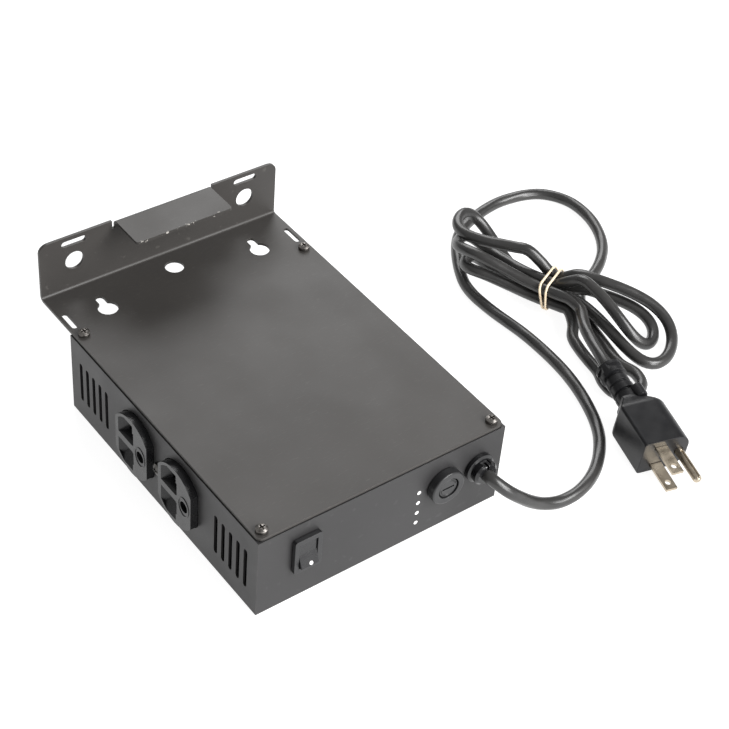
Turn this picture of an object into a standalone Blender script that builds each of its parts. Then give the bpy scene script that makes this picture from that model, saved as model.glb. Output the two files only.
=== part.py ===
"""Lighting chase controller: a folded sheet-steel box under a mounting plate, with two
duplex receptacles, a rocker switch, a fuse holder and a tied-up mains cord with its plug.

The origin lies on the table, under the middle of the box and its mounting plate.  -Y is
the end panel with the switch, +Y the mounting flange, +Z up.  All lengths are in metres.
"""

import math
from typing import NamedTuple

import bmesh
import bpy
from mathutils import Euler, Matrix, Vector

# Clearances and fineness
GAP = 0.0003
THROUGH = 0.002
SIDES = 24

# Box and mounting plate
BOX_WIDTH = 0.1415
BOX_LENGTH = 0.166
TRAY_HEIGHT = 0.0472
SHEET = 0.0012
LIP = 0.012
LIP_RELIEF = 0.003
PLATE_THICKNESS = 0.0015
PLATE_INSET = 0.0006
PLATE_CORNER = 0.003
OVERHANG = 0.031
FLANGE_RISE = 0.0325
FLANGE_CORNER = 0.005
BEND_RADIUS = 0.0022
BEND_STEPS = 4
TAB_WIDTH = 0.0561
TAB_DEPTH = 0.023
TAB_SHIFT = 0.0008
TAB_RELIEF = 0.0016

# Holes of the mounting plate
CENTRE_HOLE_RADIUS = 0.005
CENTRE_HOLE_FROM_FLANGE = 0.0137
KEYHOLE_RADIUS = 0.00525
KEYHOLE_SLOT = 0.0045
KEYHOLE_REACH = 0.0105
KEYHOLE_FROM_FLANGE = 0.0245
KEYHOLE_SPACING = 0.0911
EDGE_SLOT_LENGTH = 0.013
EDGE_SLOT_WIDTH = 0.003
EDGE_SLOT_FROM_FLANGE = 0.0232
EDGE_SLOT_FROM_SIDE = 0.004
FLANGE_HOLE_RADIUS = 0.00525
FLANGE_HOLE_HEIGHT = 0.017
FLANGE_HOLE_SPACING = 0.1015
FLANGE_SLOT_LENGTH = 0.014
FLANGE_SLOT_WIDTH = 0.0035
FLANGE_SLOT_HEIGHT = 0.0285

# Pan-head screws
SCREW_RADIUS = 0.0015
SCREW_HEAD_RADIUS = 0.003
SCREW_HEAD_HEIGHT = 0.0022
SCREW_LENGTH = 0.008
SCREW_DOME_SHARE = 0.35
SCREW_FLAT_SHARE = 0.6
RECESS_SHARE = 1.2
RECESS_WIDTH = 0.0008
LID_SCREW_FROM_SIDE = 0.005
LID_SCREW_FROM_END = 0.005

# Vent slots of the side walls
VENT_LENGTH = 0.0243
VENT_WIDTH = 0.0028
VENT_HEIGHT = 0.0232
VENT_PITCH = 0.0061
VENTS_PER_GROUP = 5
VENT_FROM_END = 0.0096

# Duplex receptacles
OUTLET_HEIGHT = 0.0248
OUTLET_SPACING = 0.0389
FACE_RADIUS = 0.01745
FACE_HALF_FLAT = 0.0143
FACE_PROUD = 0.004
BLOCK_DEPTH = 0.0225
BLOCK_MARGIN = 0.0001
BLOCK_LENGTH = OUTLET_SPACING + 2 * FACE_HALF_FLAT + BLOCK_MARGIN
BLOCK_HEIGHT = 0.033
BLADE_SHIFT = 0.0035
BLADE_SPACING = 0.0127
SLOT_LENGTH = 0.0088
SLOT_WIDTH = 0.005
SLOT_BOTTOM = 0.018
FUNNEL_LENGTH = 0.013
FUNNEL_WIDTH = 0.009
FUNNEL_DEPTH = 0.0042
GROUND_SHIFT = 0.0084
GROUND_HOLE_RADIUS = 0.0031
CONTACT_RADIUS = 0.0036
CONTACT_START = 0.0065
CONTACT_SHEET = 0.001
STRAP_SHEET = 0.0012
STRAP_WIDTH = 0.019
STRAP_EAR = 0.0095
POST_RADIUS = 0.003
POST_BORE_DEPTH = 0.016
CENTRE_SCREW_HEAD_RADIUS = 0.0033
CENTRE_SCREW_LENGTH = 0.012
STRIP_HEIGHT = 0.003

# Rocker switch, measured from the box's left corner and the table
PANEL_HEIGHT = 0.0285
ROCKER_FROM_LEFT = 0.0262
BEZEL_WIDTH = 0.015
BEZEL_HEIGHT = 0.021
BEZEL_PROUD = 0.0026
BEZEL_CORNER = 0.0012
HOUSING_WIDTH = 0.0124
HOUSING_HEIGHT = 0.0184
HOUSING_DEPTH = 0.013
PADDLE_WIDTH = 0.0096
PADDLE_RADIUS = 0.0074
PADDLE_CORNER_ANGLE = math.radians(21)
PADDLE_TILT = math.radians(12)
PADDLE_HEEL_ANGLE = math.radians(26)
PIVOT_PROUD = 0.00065
PIVOT_RADIUS = 0.0012
PIVOT_LENGTH = 0.0007
ROCKER_CAVITY = 0.0085
TERMINAL_WIDTH = 0.0048
TERMINAL_SHEET = 0.0008
TERMINAL_LENGTH = 0.0105
ROCKER_TERMINAL_SPACING = 0.01
LATCH_REACH = 0.0007
LATCH_HEIGHT = 0.006
LATCH_DEPTH = 0.0025

# Fuse holder
FUSE_FROM_LEFT = 0.1057
FUSE_RING_RADIUS = 0.0095
FUSE_PROUD = 0.0048
FUSE_THREAD_RADIUS = 0.006
FUSE_BODY_DEPTH = 0.031
FUSE_BORE_RADIUS = 0.0043
FUSE_WALL = 0.0015
CAP_RADIUS = 0.0056
CAP_RECESS = 0.0006
CAP_SEAT = 0.001
CAP_SHANK_LENGTH = 0.0073
CAP_SLOT_LENGTH = 0.007
CAP_SLOT_WIDTH = 0.001
FUSE_RADIUS = 0.0026
FUSE_LENGTH = 0.02
FUSE_CAP_LENGTH = 0.005
FUSE_CAP_WALL = 0.00035
FUSE_WIRE_RADIUS = 0.0003
GLASS_WALL = 0.0005
FUSE_NUT_RADIUS = 0.0098
FUSE_NUT_THICKNESS = 0.003
FUSE_PIN_RADIUS = 0.0012
FUSE_PIN_TAIL = 0.007
FUSE_BEVEL = 0.0005
FUSE_LUG_DEPTH = 0.0186

# Cord gland and cord
GLAND_FROM_LEFT = 0.1268
GLAND_HEIGHT = 0.0286
GLAND_PROUD = 0.0075
GLAND_HEAD_RADIUS = 0.008
GLAND_NECK_RADIUS = 0.006
GLAND_BARB = 0.0009
GLAND_TAIL = 0.0048
GLAND_SHOULDER = 0.0015
CORD_RADIUS = 0.00325
JACKET_INSIDE = 0.024

# Far-wall controls under the plate's overhang
CONTROL_HEIGHT = 0.024
KNOB_FROM_LEFT = 0.0480
KNOB_RADIUS = 0.008
KNOB_LENGTH = 0.014
KNOB_STANDOFF = 0.0045
KNOB_FLUTES = 12
FLUTE_DEPTH = 0.0006
POINTER_WIDTH = 0.0012
POINTER_DEPTH = 0.001
SHAFT_RADIUS = 0.003
SHAFT_LENGTH = 0.0155
BUSHING_RADIUS = 0.0036
BUSHING_LENGTH = 0.0055
POT_RADIUS = 0.0085
POT_DEPTH = 0.0092
POT_NUT_RADIUS = 0.0056
POT_NUT_THICKNESS = 0.002
BUTTON_FROM_LEFT = 0.0880
BUTTON_RADIUS = 0.0035
BUTTON_PROUD = 0.0045
BUTTON_TRAVEL = 0.0012
SWITCH_RADIUS = 0.0058
SWITCH_RIM = 0.0072
SWITCH_RIM_DEPTH = 0.0018
SWITCH_DEPTH = 0.0150

# Control board and what stands on it
BOARD_THICKNESS = 0.0016
BOARD_WIDTH = 0.080
BOARD_LENGTH = 0.105
BOARD_FROM_FRONT = 0.036
BOARD_CLEARANCE = 0.0068
SUPPORT_RADIUS = 0.003
SUPPORT_PEG_RADIUS = 0.0015
SUPPORT_HEAD_RADIUS = 0.0024
SUPPORT_HEAD_HEIGHT = 0.0025
SUPPORT_TIP_RADIUS = 0.0009
SUPPORT_FROM_EDGE = 0.004
HEATSINK_LENGTH = 0.058
HEATSINK_HEIGHT = 0.020
HEATSINK_BASE = 0.003
HEATSINK_FIN = 0.0012
HEATSINK_FIN_REACH = 0.009
HEATSINK_FINS = 6
HEATSINK_FROM_FRONT = 0.060
TRIAC_WIDTH = 0.010
TRIAC_THICKNESS = 0.0045
TRIAC_HEIGHT = 0.0155
TRIAC_PITCH = 0.0140
TRIAC_TAB_HOLE = 0.0018
TRIAC_TAB_HEIGHT = 0.006
TRIAC_TAB_THICKNESS = 0.0013
TRIACS = 4
CORE_WIDTH = 0.032
CORE_LENGTH = 0.014
CORE_HEIGHT = 0.022
CORE_LIMB = 0.0055
CORE_CENTRE_LIMB = 0.0082
CORE_FROM_FRONT = 0.122
WINDING_LENGTH = 0.0235
WINDING_CORNER = 0.002
CAPACITOR_RADIUS = 0.005
CAPACITOR_HEIGHT = 0.016
CAPACITOR_FROM_EDGE = 0.014
CAPACITOR_FROM_FRONT = 0.120
PROCESSOR_SIZE = (0.0355, 0.0072, 0.0042)
PROCESSOR_FROM_FRONT = 0.100
TERMINAL_BLOCK_SIZE = (0.0600, 0.0085, 0.0100)
TERMINAL_BLOCK_WAYS = 8
TERMINAL_BLOCK_FROM_FRONT = 0.0425
WIRE_MOUTH_WIDTH = 0.0045
WIRE_MOUTH_HEIGHT = 0.004
WIRE_MOUTH_DEPTH = 0.006
WIRE_MOUTH_DROP = 0.0015

# Plug
PLUG_FACE = (0.2244, -0.0319, 0.0114)
PLUG_YAW = math.radians(-103.6)
PLUG_PITCH = math.radians(5.4)
PLUG_ROLL = math.radians(-1)
PLUG_LENGTH = 0.062
PLUG_WIDTH = 0.027
PLUG_HEIGHT = 0.0222
PLUG_FLAT_CORNER = 0.002
PLUG_ROUND_CORNER = 0.0085
PLUG_BLOCK = 0.026
PLUG_SHOULDER = 0.011
PLUG_SHOULDER_STEPS = 4
PLUG_SHOULDER_TIP = 0.0058
PLUG_RING_RADIUS = 0.0066
PLUG_GROOVE_RADIUS = 0.0052
PLUG_GROOVE_WIDTH = 0.0015
PLUG_RINGS = 4
PLUG_RING_TAPER = 0.0008
PLUG_OVERLAP = 0.004
PRONG_SPACING = 0.0127
PRONG_SHIFT = 0.0036
PRONG_WIDTH = 0.00635
PRONG_THICKNESS = 0.0015
PRONG_LENGTH = 0.0175
PRONG_ROOT = 0.0057
PRONG_HOLE_RADIUS = 0.0016
PRONG_HOLE_FROM_FACE = 0.0131
GROUND_PIN_SHIFT = 0.0083
GROUND_PIN_RADIUS = 0.00238
GROUND_PIN_LENGTH = 0.021
GROUND_PIN_DOME = 0.0019

# Hank: the tied waist, its two layers and the lobes of each side
WAIST = (0.2625, 0.098)
WAIST_ANGLE = math.radians(114.8)
STRAND_PITCH = 0.0074
LOW_LAYER = 0.0076
TOP_LAYER = 0.015
TIE_REACH = (-0.0012, 0.0045)
HANK_START = 0.009
LOOP_POINTS = 24
BAND_WIDTH = 0.0050
BAND_THICKNESS = 0.0012
CORD_STEP = 0.00975
CORD_STUB = 0.0033
TABLE_CLEARANCE = 0.00005
BELLY_FACTOR = 1.5 * math.sqrt(3)
ENTRY_REACH = 0.018
ENTRY_SHIFT = 0.0045
ENTRY_DROP = 0.0018
LEAD_SHIFT = 0.0015
FINE_STEPS = 16

# Worked out from the values above
HALF_WIDTH = BOX_WIDTH / 2
FRONT_Y = -(BOX_LENGTH + OVERHANG - FUSE_PROUD) / 2
BACK_Y = FRONT_Y + BOX_LENGTH
MIDDLE_Y = FRONT_Y + BOX_LENGTH / 2
FLANGE_Y = BACK_Y + OVERHANG
LID_TOP = TRAY_HEIGHT + GAP + PLATE_THICKNESS
FLANGE_TOP = LID_TOP + FLANGE_RISE
BOARD_BOTTOM = SHEET + BOARD_CLEARANCE
BOARD_TOP = BOARD_BOTTOM + BOARD_THICKNESS
ON_BOARD = BOARD_TOP + GAP

# Local z runs along the named axis; local x and y lie across it
TURN = {
    "X": Matrix(((0, 0, 1), (1, 0, 0), (0, 1, 0))).to_4x4(),
    "Y": Matrix(((1, 0, 0), (0, 0, -1), (0, 1, 0))).to_4x4(),
    "Z": Matrix.Identity(4),
}

BLACK_PAINT = ("black_paint", (0.045, 0.045, 0.047), 0.45, 0.0)
GREY_PAINT = ("grey_paint", (0.13, 0.125, 0.12), 0.55, 0.0)
BLACK_PLASTIC = ("black_plastic", (0.02, 0.02, 0.022), 0.4, 0.0)
BLACK_VINYL = ("black_vinyl", (0.035, 0.035, 0.037), 0.5, 0.0)
STEEL = ("plated_steel", (0.55, 0.54, 0.52), 0.3, 1.0)
NICKEL = ("nickel_plate", (0.6, 0.56, 0.5), 0.25, 1.0)
BRASS = ("brass", (0.7, 0.5, 0.2), 0.3, 1.0)
ALUMINIUM = ("aluminium", (0.75, 0.75, 0.77), 0.35, 1.0)
GLASS = ("fuse_glass", (0.8, 0.85, 0.85), 0.05, 0.0)
CREAM_RUBBER = ("cream_rubber", (0.78, 0.68, 0.5), 0.7, 0.0)
BOARD_GREEN = ("board_green", (0.03, 0.17, 0.07), 0.5, 0.0)
BLOCK_GREEN = ("terminal_green", (0.05, 0.32, 0.12), 0.45, 0.0)
COPPER = ("winding_copper", (0.65, 0.28, 0.12), 0.35, 1.0)
IRON = ("core_iron", (0.2, 0.2, 0.21), 0.5, 0.8)
WHITE_PLASTIC = ("white_plastic", (0.8, 0.8, 0.78), 0.4, 0.0)
SLEEVE_BLUE = ("capacitor_sleeve", (0.04, 0.07, 0.2), 0.4, 0.0)


# Scene and objects


def clear_scene():
    """Remove everything and make the two collections."""
    for thing in list(bpy.data.objects):
        bpy.data.objects.remove(thing)
    collections = []
    for name in ("lighting_chase_controller", "cutters"):
        collection = bpy.data.collections.new(name)
        bpy.context.scene.collection.children.link(collection)
        collections.append(collection)
    return collections


PARTS, CUTTERS = clear_scene()


def material(finish):
    """Return the Principled material of a finish, made once."""
    name, colour, roughness, metallic = finish
    found = bpy.data.materials.get(name)
    if found:
        return found
    made = bpy.data.materials.new(name)
    made.use_nodes = True
    shader = made.node_tree.nodes["Principled BSDF"]
    shader.inputs["Base Color"].default_value = (*colour, 1.0)
    shader.inputs["Roughness"].default_value = roughness
    shader.inputs["Metallic"].default_value = metallic
    return made


def place(mesh, name, centre, axis):
    """Link a mesh as an object that stands at centre along the axis."""
    thing = bpy.data.objects.new(name, mesh)
    thing.matrix_world = Matrix.Translation(Vector(centre)) @ TURN[axis]
    PARTS.objects.link(thing)
    return thing


def from_bmesh(shape, name, centre=(0, 0, 0), axis="Z"):
    """Turn a bmesh into a placed object."""
    mesh = bpy.data.meshes.new(name)
    shape.to_mesh(mesh)
    shape.free()
    return place(mesh, name, centre, axis)


def cuboid(size, centre, name="cuboid"):
    """Make a box of a size about its centre."""
    shape = bmesh.new()
    bmesh.ops.create_cube(shape, size=1.0)
    bmesh.ops.scale(shape, vec=size, verts=shape.verts)
    return from_bmesh(shape, name, centre)


def rod(radius, length, centre, axis="Z", sides=SIDES, tip=None, name="rod"):
    """Make a cylinder about its centre, or a cone where it has a tip radius."""
    shape = bmesh.new()
    far = radius if tip is None else tip
    bmesh.ops.create_cone(
        shape, cap_ends=True, segments=sides, radius1=radius, radius2=far, depth=length
    )
    return from_bmesh(shape, name, centre, axis)


def turned(profile, centre, axis="Z", sides=SIDES, ring=False, name="turned"):
    """Turn a profile of (radius, height) points, listed down its outer side."""
    shape = bmesh.new()
    points = [shape.verts.new((radius, 0, height)) for radius, height in profile]
    pairs = list(zip(points, points[1:]))
    if ring:
        pairs.append((points[-1], points[0]))
    for pair in pairs:
        shape.edges.new(pair)
    thing = from_bmesh(shape, name, centre, axis)
    screw = thing.modifiers.new("Turn", "SCREW")
    screw.steps = sides
    screw.render_steps = sides
    screw.use_merge_vertices = True
    screw.merge_threshold = 0.00001
    return thing


def curve_to_mesh(curve, name, centre, axis):
    """Turn a curve into a welded mesh object and drop the curve."""
    guide = bpy.data.objects.new(name, curve)
    PARTS.objects.link(guide)
    bpy.context.view_layer.update()
    graph = bpy.context.evaluated_depsgraph_get()
    mesh = bpy.data.meshes.new_from_object(guide.evaluated_get(graph))
    bpy.data.objects.remove(guide)
    shape = bmesh.new()
    shape.from_mesh(mesh)
    bmesh.ops.remove_doubles(shape, verts=shape.verts, dist=0.000001)
    shape.to_mesh(mesh)
    shape.free()
    return place(mesh, name, centre, axis)


def add_spline(curve, points, closed):
    """Add a straight-edged spline through the points."""
    spline = curve.splines.new("POLY")
    spline.points.add(len(points) - 1)
    for target, point in zip(spline.points, points):
        target.co = (*point, 1.0) if len(point) == 3 else (*point, 0.0, 1.0)
    spline.use_cyclic_u = closed


def prism(outlines, length, centre, axis="Z", name="prism"):
    """Extrude one or more flat outlines by a length about their centre."""
    curve = bpy.data.curves.new(name, "CURVE")
    curve.dimensions = "2D"
    curve.fill_mode = "BOTH"
    curve.extrude = length / 2
    for outline in outlines:
        add_spline(curve, outline, True)
    return curve_to_mesh(curve, name, centre, axis)


def tube(points, radius, resolution=2, name="tube"):
    """Run a round tube with filled ends through the points."""
    curve = bpy.data.curves.new(name, "CURVE")
    curve.dimensions = "3D"
    curve.bevel_depth = radius
    curve.bevel_resolution = resolution
    curve.use_fill_caps = True
    add_spline(curve, points, False)
    return curve_to_mesh(curve, name, (0, 0, 0), "Z")


def combine(target, operation, tools):
    """Cut or join a target by tools, which become hidden guides."""
    for tool in tools:
        step = target.modifiers.new(operation.title(), "BOOLEAN")
        step.operation = operation
        step.object = tool
        PARTS.objects.unlink(tool)
        CUTTERS.objects.link(tool)
        tool.hide_render = True
        tool.display_type = "WIRE"
    return target


def cut(target, *tools):
    """Take the tools' shapes out of the target."""
    return combine(target, "DIFFERENCE", tools)


def fuse(target, *tools):
    """Join the tools' shapes to the target."""
    return combine(target, "UNION", tools)


def gather(pieces, name, frame=None):
    """Put finished pieces in one mesh as separate solids, in a frame if one is given."""
    bpy.context.view_layer.update()
    graph = bpy.context.evaluated_depsgraph_get()
    joined = bmesh.new()
    for piece in pieces:
        mesh = bpy.data.meshes.new_from_object(piece.evaluated_get(graph))
        mesh.transform(piece.matrix_world)
        joined.from_mesh(mesh)
        bpy.data.meshes.remove(mesh)
        bpy.data.objects.remove(piece)
    thing = from_bmesh(joined, name)
    if frame is not None:
        thing.matrix_world = frame
    return thing


def part(thing, name, finish):
    """Give an object its node name, material and smooth round faces."""
    thing.name = name
    thing.data.name = name
    thing.data.materials.clear()
    thing.data.materials.append(material(finish))
    thing.data.shade_smooth()
    thing.data.set_sharp_from_angle(angle=math.radians(40))
    return thing


def copies(first, names, frames):
    """Give the first object a frame and a name, and make the others share its mesh."""
    first.name = names[0]
    first.matrix_world = frames[0]
    for name, frame in zip(names[1:], frames[1:]):
        other = bpy.data.objects.new(name, first.data)
        other.matrix_world = frame
        PARTS.objects.link(other)


# Flat outlines


def arc(radius, start, end, steps, centre=(0.0, 0.0)):
    """Points along an arc between two angles, both ends included."""
    points = []
    for index in range(steps + 1):
        angle = start + (end - start) * index / steps
        points.append((centre[0] + radius * math.cos(angle), centre[1] + radius * math.sin(angle)))
    return points


def rounded_rectangle(width, height, corner, steps=3):
    """Outline of a rectangle with round corners."""
    points = []
    quarter = math.pi / 2
    for index, (side_x, side_y) in enumerate(((1, 1), (-1, 1), (-1, -1), (1, -1))):
        middle = (side_x * (width / 2 - corner), side_y * (height / 2 - corner))
        points += arc(corner, index * quarter, (index + 1) * quarter, steps, middle)
    return points


def slot_outline(length, width, upright=False, steps=6):
    """Outline of a round-ended slot, along x or upright along y."""
    reach = (length - width) / 2
    points = arc(width / 2, -math.pi / 2, math.pi / 2, steps, (reach, 0))
    points += arc(width / 2, math.pi / 2, 3 * math.pi / 2, steps, (-reach, 0))
    return [(-y, x) for x, y in points] if upright else points


def flatted_circle(radius, half_flat, steps=10):
    """Outline of a circle with its two sides cut flat."""
    corner = math.acos(half_flat / radius)
    top = arc(radius, corner, math.pi - corner, steps)
    return top + arc(radius, math.pi + corner, 2 * math.pi - corner, steps)


def keyhole_outline(radius, slot_width, reach, steps=14):
    """Outline of a round hole with a narrower slot that runs on towards +y."""
    half = slot_width / 2
    mouth = math.asin(half / radius)
    start = math.pi / 2 + mouth
    points = arc(radius, start, start + 2 * math.pi - 2 * mouth, steps)
    return points + arc(half, 0, math.pi, 6, (0, reach - half))


# Screws


def pan_screw(length, head_radius, name):
    """A cross-recessed screw with its head on the origin and its shank down from it."""
    dome = SCREW_HEAD_HEIGHT * SCREW_DOME_SHARE
    profile = [
        (0, SCREW_HEAD_HEIGHT),
        (head_radius * SCREW_FLAT_SHARE, SCREW_HEAD_HEIGHT),
        (head_radius, SCREW_HEAD_HEIGHT - dome),
        (head_radius, 0),
        (SCREW_RADIUS, 0),
        (SCREW_RADIUS, -length),
        (0, -length),
    ]
    screw = turned(profile, (0, 0, 0), sides=16)
    long = head_radius * RECESS_SHARE
    depth = SCREW_HEAD_HEIGHT * RECESS_SHARE
    for size in ((long, RECESS_WIDTH, depth), (RECESS_WIDTH, long, depth)):
        cut(screw, cuboid(size, (0, 0, SCREW_HEAD_HEIGHT)))
    return part(gather([screw], name), name, STEEL)


# Box


def wall_slots(outline, y, height):
    """Cutter through both side walls at one place."""
    return prism([outline], BOX_WIDTH + 2 * THROUGH, (0, y, height), "X")


def lid_screw_places():
    """Places of the four lid screws in plan."""
    x = HALF_WIDTH - LID_SCREW_FROM_SIDE
    return [
        (side * x, y)
        for y in (FRONT_Y + LID_SCREW_FROM_END, BACK_Y - LID_SCREW_FROM_END)
        for side in (-1, 1)
    ]


def support_places():
    """Plan places of the board's supports."""
    x = BOARD_WIDTH / 2 - SUPPORT_FROM_EDGE
    front = FRONT_Y + BOARD_FROM_FRONT
    ends = (front + SUPPORT_FROM_EDGE, front + BOARD_LENGTH - SUPPORT_FROM_EDGE)
    return [(side * x, y) for y in ends for side in (-1, 1)]


def vent_places():
    """Distances of the vent slots from the middle of the side walls."""
    last = BOX_LENGTH / 2 - VENT_FROM_END
    steps = [last - index * VENT_PITCH for index in range(VENTS_PER_GROUP)]
    return [-step for step in steps] + steps


def base_tray():
    """Folded tray with end lips, vents and the holes for everything it carries."""
    tray = cuboid((BOX_WIDTH, BOX_LENGTH, TRAY_HEIGHT), (0, MIDDLE_Y, TRAY_HEIGHT / 2))
    inner_width = BOX_WIDTH - 2 * SHEET
    inner_length = BOX_LENGTH - 2 * SHEET
    inner_height = TRAY_HEIGHT - 2 * SHEET
    cavity = cuboid((inner_width, inner_length, inner_height), (0, MIDDLE_Y, TRAY_HEIGHT / 2))
    mouth_size = (inner_width, BOX_LENGTH - 2 * LIP, 2 * SHEET + THROUGH)
    mouth = cuboid(mouth_size, (0, MIDDLE_Y, TRAY_HEIGHT))
    cut(tray, cavity, mouth)
    reliefs = []
    for side in (-1, 1):
        for end in (-1, 1):
            size = (LIP_RELIEF, LIP - SHEET, 2 * SHEET + THROUGH)
            x = side * (inner_width - LIP_RELIEF) / 2
            y = MIDDLE_Y + end * (BOX_LENGTH - LIP - SHEET) / 2
            reliefs.append(cuboid(size, (x, y, TRAY_HEIGHT)))
    cut(tray, gather(reliefs, "lip_reliefs"))
    vent = slot_outline(VENT_LENGTH, VENT_WIDTH, upright=True)
    vents = [wall_slots(vent, MIDDLE_Y + place_y, VENT_HEIGHT) for place_y in vent_places()]
    cut(tray, gather(vents, "vents"))
    face = flatted_circle(FACE_RADIUS + GAP, FACE_HALF_FLAT + GAP)
    for side in (-1, 1):
        cut(tray, wall_slots(face, MIDDLE_Y + side * OUTLET_SPACING / 2, OUTLET_HEIGHT))
    long_rod = BOX_WIDTH + 2 * THROUGH
    cut(tray, rod(SCREW_RADIUS + GAP, long_rod, (0, MIDDLE_Y, OUTLET_HEIGHT), "X"))
    cut(tray, gather(panel_cutters(), "panel_holes"))
    cut(tray, gather(far_wall_cutters(), "far_wall_holes"))
    lip_holes = [rod(SCREW_RADIUS + GAP, LIP, (x, y, TRAY_HEIGHT)) for x, y in lid_screw_places()]
    cut(tray, gather(lip_holes, "lip_holes"))
    return part(tray, "base_tray", BLACK_PAINT)


def panel_cutters():
    """Holes of the end panel: rocker, fuse holder and gland."""
    depth = 2 * (SHEET + THROUGH)
    rocker_x = ROCKER_FROM_LEFT - HALF_WIDTH
    rocker_size = (HOUSING_WIDTH + 2 * GAP, depth, HOUSING_HEIGHT + 2 * GAP)
    fuse_x = FUSE_FROM_LEFT - HALF_WIDTH
    gland_x = GLAND_FROM_LEFT - HALF_WIDTH
    return [
        cuboid(rocker_size, (rocker_x, FRONT_Y, PANEL_HEIGHT)),
        rod(FUSE_THREAD_RADIUS + GAP, depth, (fuse_x, FRONT_Y, PANEL_HEIGHT), "Y"),
        rod(GLAND_NECK_RADIUS + GAP, depth, (gland_x, FRONT_Y, GLAND_HEIGHT), "Y"),
    ]


def far_wall_cutters():
    """Holes of the far wall: the potentiometer's bushing and the push switch."""
    depth = 2 * (SHEET + THROUGH)
    knob_x = KNOB_FROM_LEFT - HALF_WIDTH
    button_x = BUTTON_FROM_LEFT - HALF_WIDTH
    return [
        rod(BUSHING_RADIUS + GAP, depth, (knob_x, BACK_Y, CONTROL_HEIGHT), "Y"),
        rod(SWITCH_RADIUS + GAP, depth, (button_x, BACK_Y, CONTROL_HEIGHT), "Y"),
    ]


def mounting_plate():
    """Lid sheet that runs on into the overhang, the upright flange and its folded tab."""
    half = HALF_WIDTH - PLATE_INSET
    tab_left = TAB_SHIFT - TAB_WIDTH / 2
    tab_right = TAB_SHIFT + TAB_WIDTH / 2
    columns = [-half, tab_left - TAB_RELIEF, tab_left, tab_right, tab_right + TAB_RELIEF, half]
    shape = bmesh.new()
    front = (FRONT_Y + PLATE_INSET, LID_TOP - PLATE_THICKNESS / 2)
    verts = [shape.verts.new((x, *front)) for x in columns]
    edges = [shape.edges.new(pair) for pair in zip(verts, verts[1:])]
    middle_y = FLANGE_Y - PLATE_THICKNESS / 2 - BEND_RADIUS
    low = LID_TOP - PLATE_THICKNESS / 2 + BEND_RADIUS
    high = FLANGE_TOP - PLATE_THICKNESS / 2 - BEND_RADIUS
    lower_bend = arc(BEND_RADIUS, -math.pi / 2, 0, BEND_STEPS, (middle_y, low))
    notch = high - TAB_RELIEF
    here = front
    for point in lower_bend + [(lower_bend[-1][0], notch)]:
        edges = extrude_row(shape, edges, here, point)
        here = point
    edges = [edge for index, edge in enumerate(edges) if index not in (1, 3)]
    sides = extrude_row(shape, [edges[0], edges[2]], here, (here[0], FLANGE_TOP))
    tab = [edges[1]]
    upper_bend = arc(BEND_RADIUS, 0, math.pi / 2, BEND_STEPS, (middle_y, high))
    tab_end = (FLANGE_Y - TAB_DEPTH, upper_bend[-1][1])
    for point in upper_bend + [tab_end]:
        tab = extrude_row(shape, tab, here, point)
        here = point
    round_corners(shape, [verts[0], verts[-1]], PLATE_CORNER)
    outer = [vert for edge in sides for vert in edge.verts if abs(abs(vert.co.x) - half) < GAP]
    round_corners(shape, outer, FLANGE_CORNER)
    round_corners(shape, list(tab[0].verts), PLATE_CORNER / 2)
    bmesh.ops.recalc_face_normals(shape, faces=shape.faces)
    plate = from_bmesh(shape, "mounting_plate")
    shell = plate.modifiers.new("Sheet", "SOLIDIFY")
    shell.thickness = PLATE_THICKNESS
    shell.offset = 0
    cut(plate, *plate_cutters())
    return part(plate, "mounting_plate", GREY_PAINT)


def extrude_row(shape, edges, here, there):
    """Extrude a row of edges from one (y, z) place to the next."""
    made = bmesh.ops.extrude_edge_only(shape, edges=edges)["geom"]
    verts = [item for item in made if isinstance(item, bmesh.types.BMVert)]
    bmesh.ops.translate(shape, verts=verts, vec=(0, there[0] - here[0], there[1] - here[1]))
    fresh = [item for item in made if isinstance(item, bmesh.types.BMEdge)]
    return sorted(fresh, key=lambda edge: sum(vert.co.x for vert in edge.verts))


def round_corners(shape, verts, radius):
    """Round the outline's corners of an open sheet."""
    bmesh.ops.bevel(
        shape,
        geom=verts,
        offset=radius,
        offset_type="OFFSET",
        segments=4,
        profile=0.5,
        affect="VERTICES",
    )


def keyhole_places():
    """Plan places of the two keyholes' large ends."""
    y = FLANGE_Y - KEYHOLE_FROM_FLANGE
    return [(side * KEYHOLE_SPACING / 2, y) for side in (-1, 1)]


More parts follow.
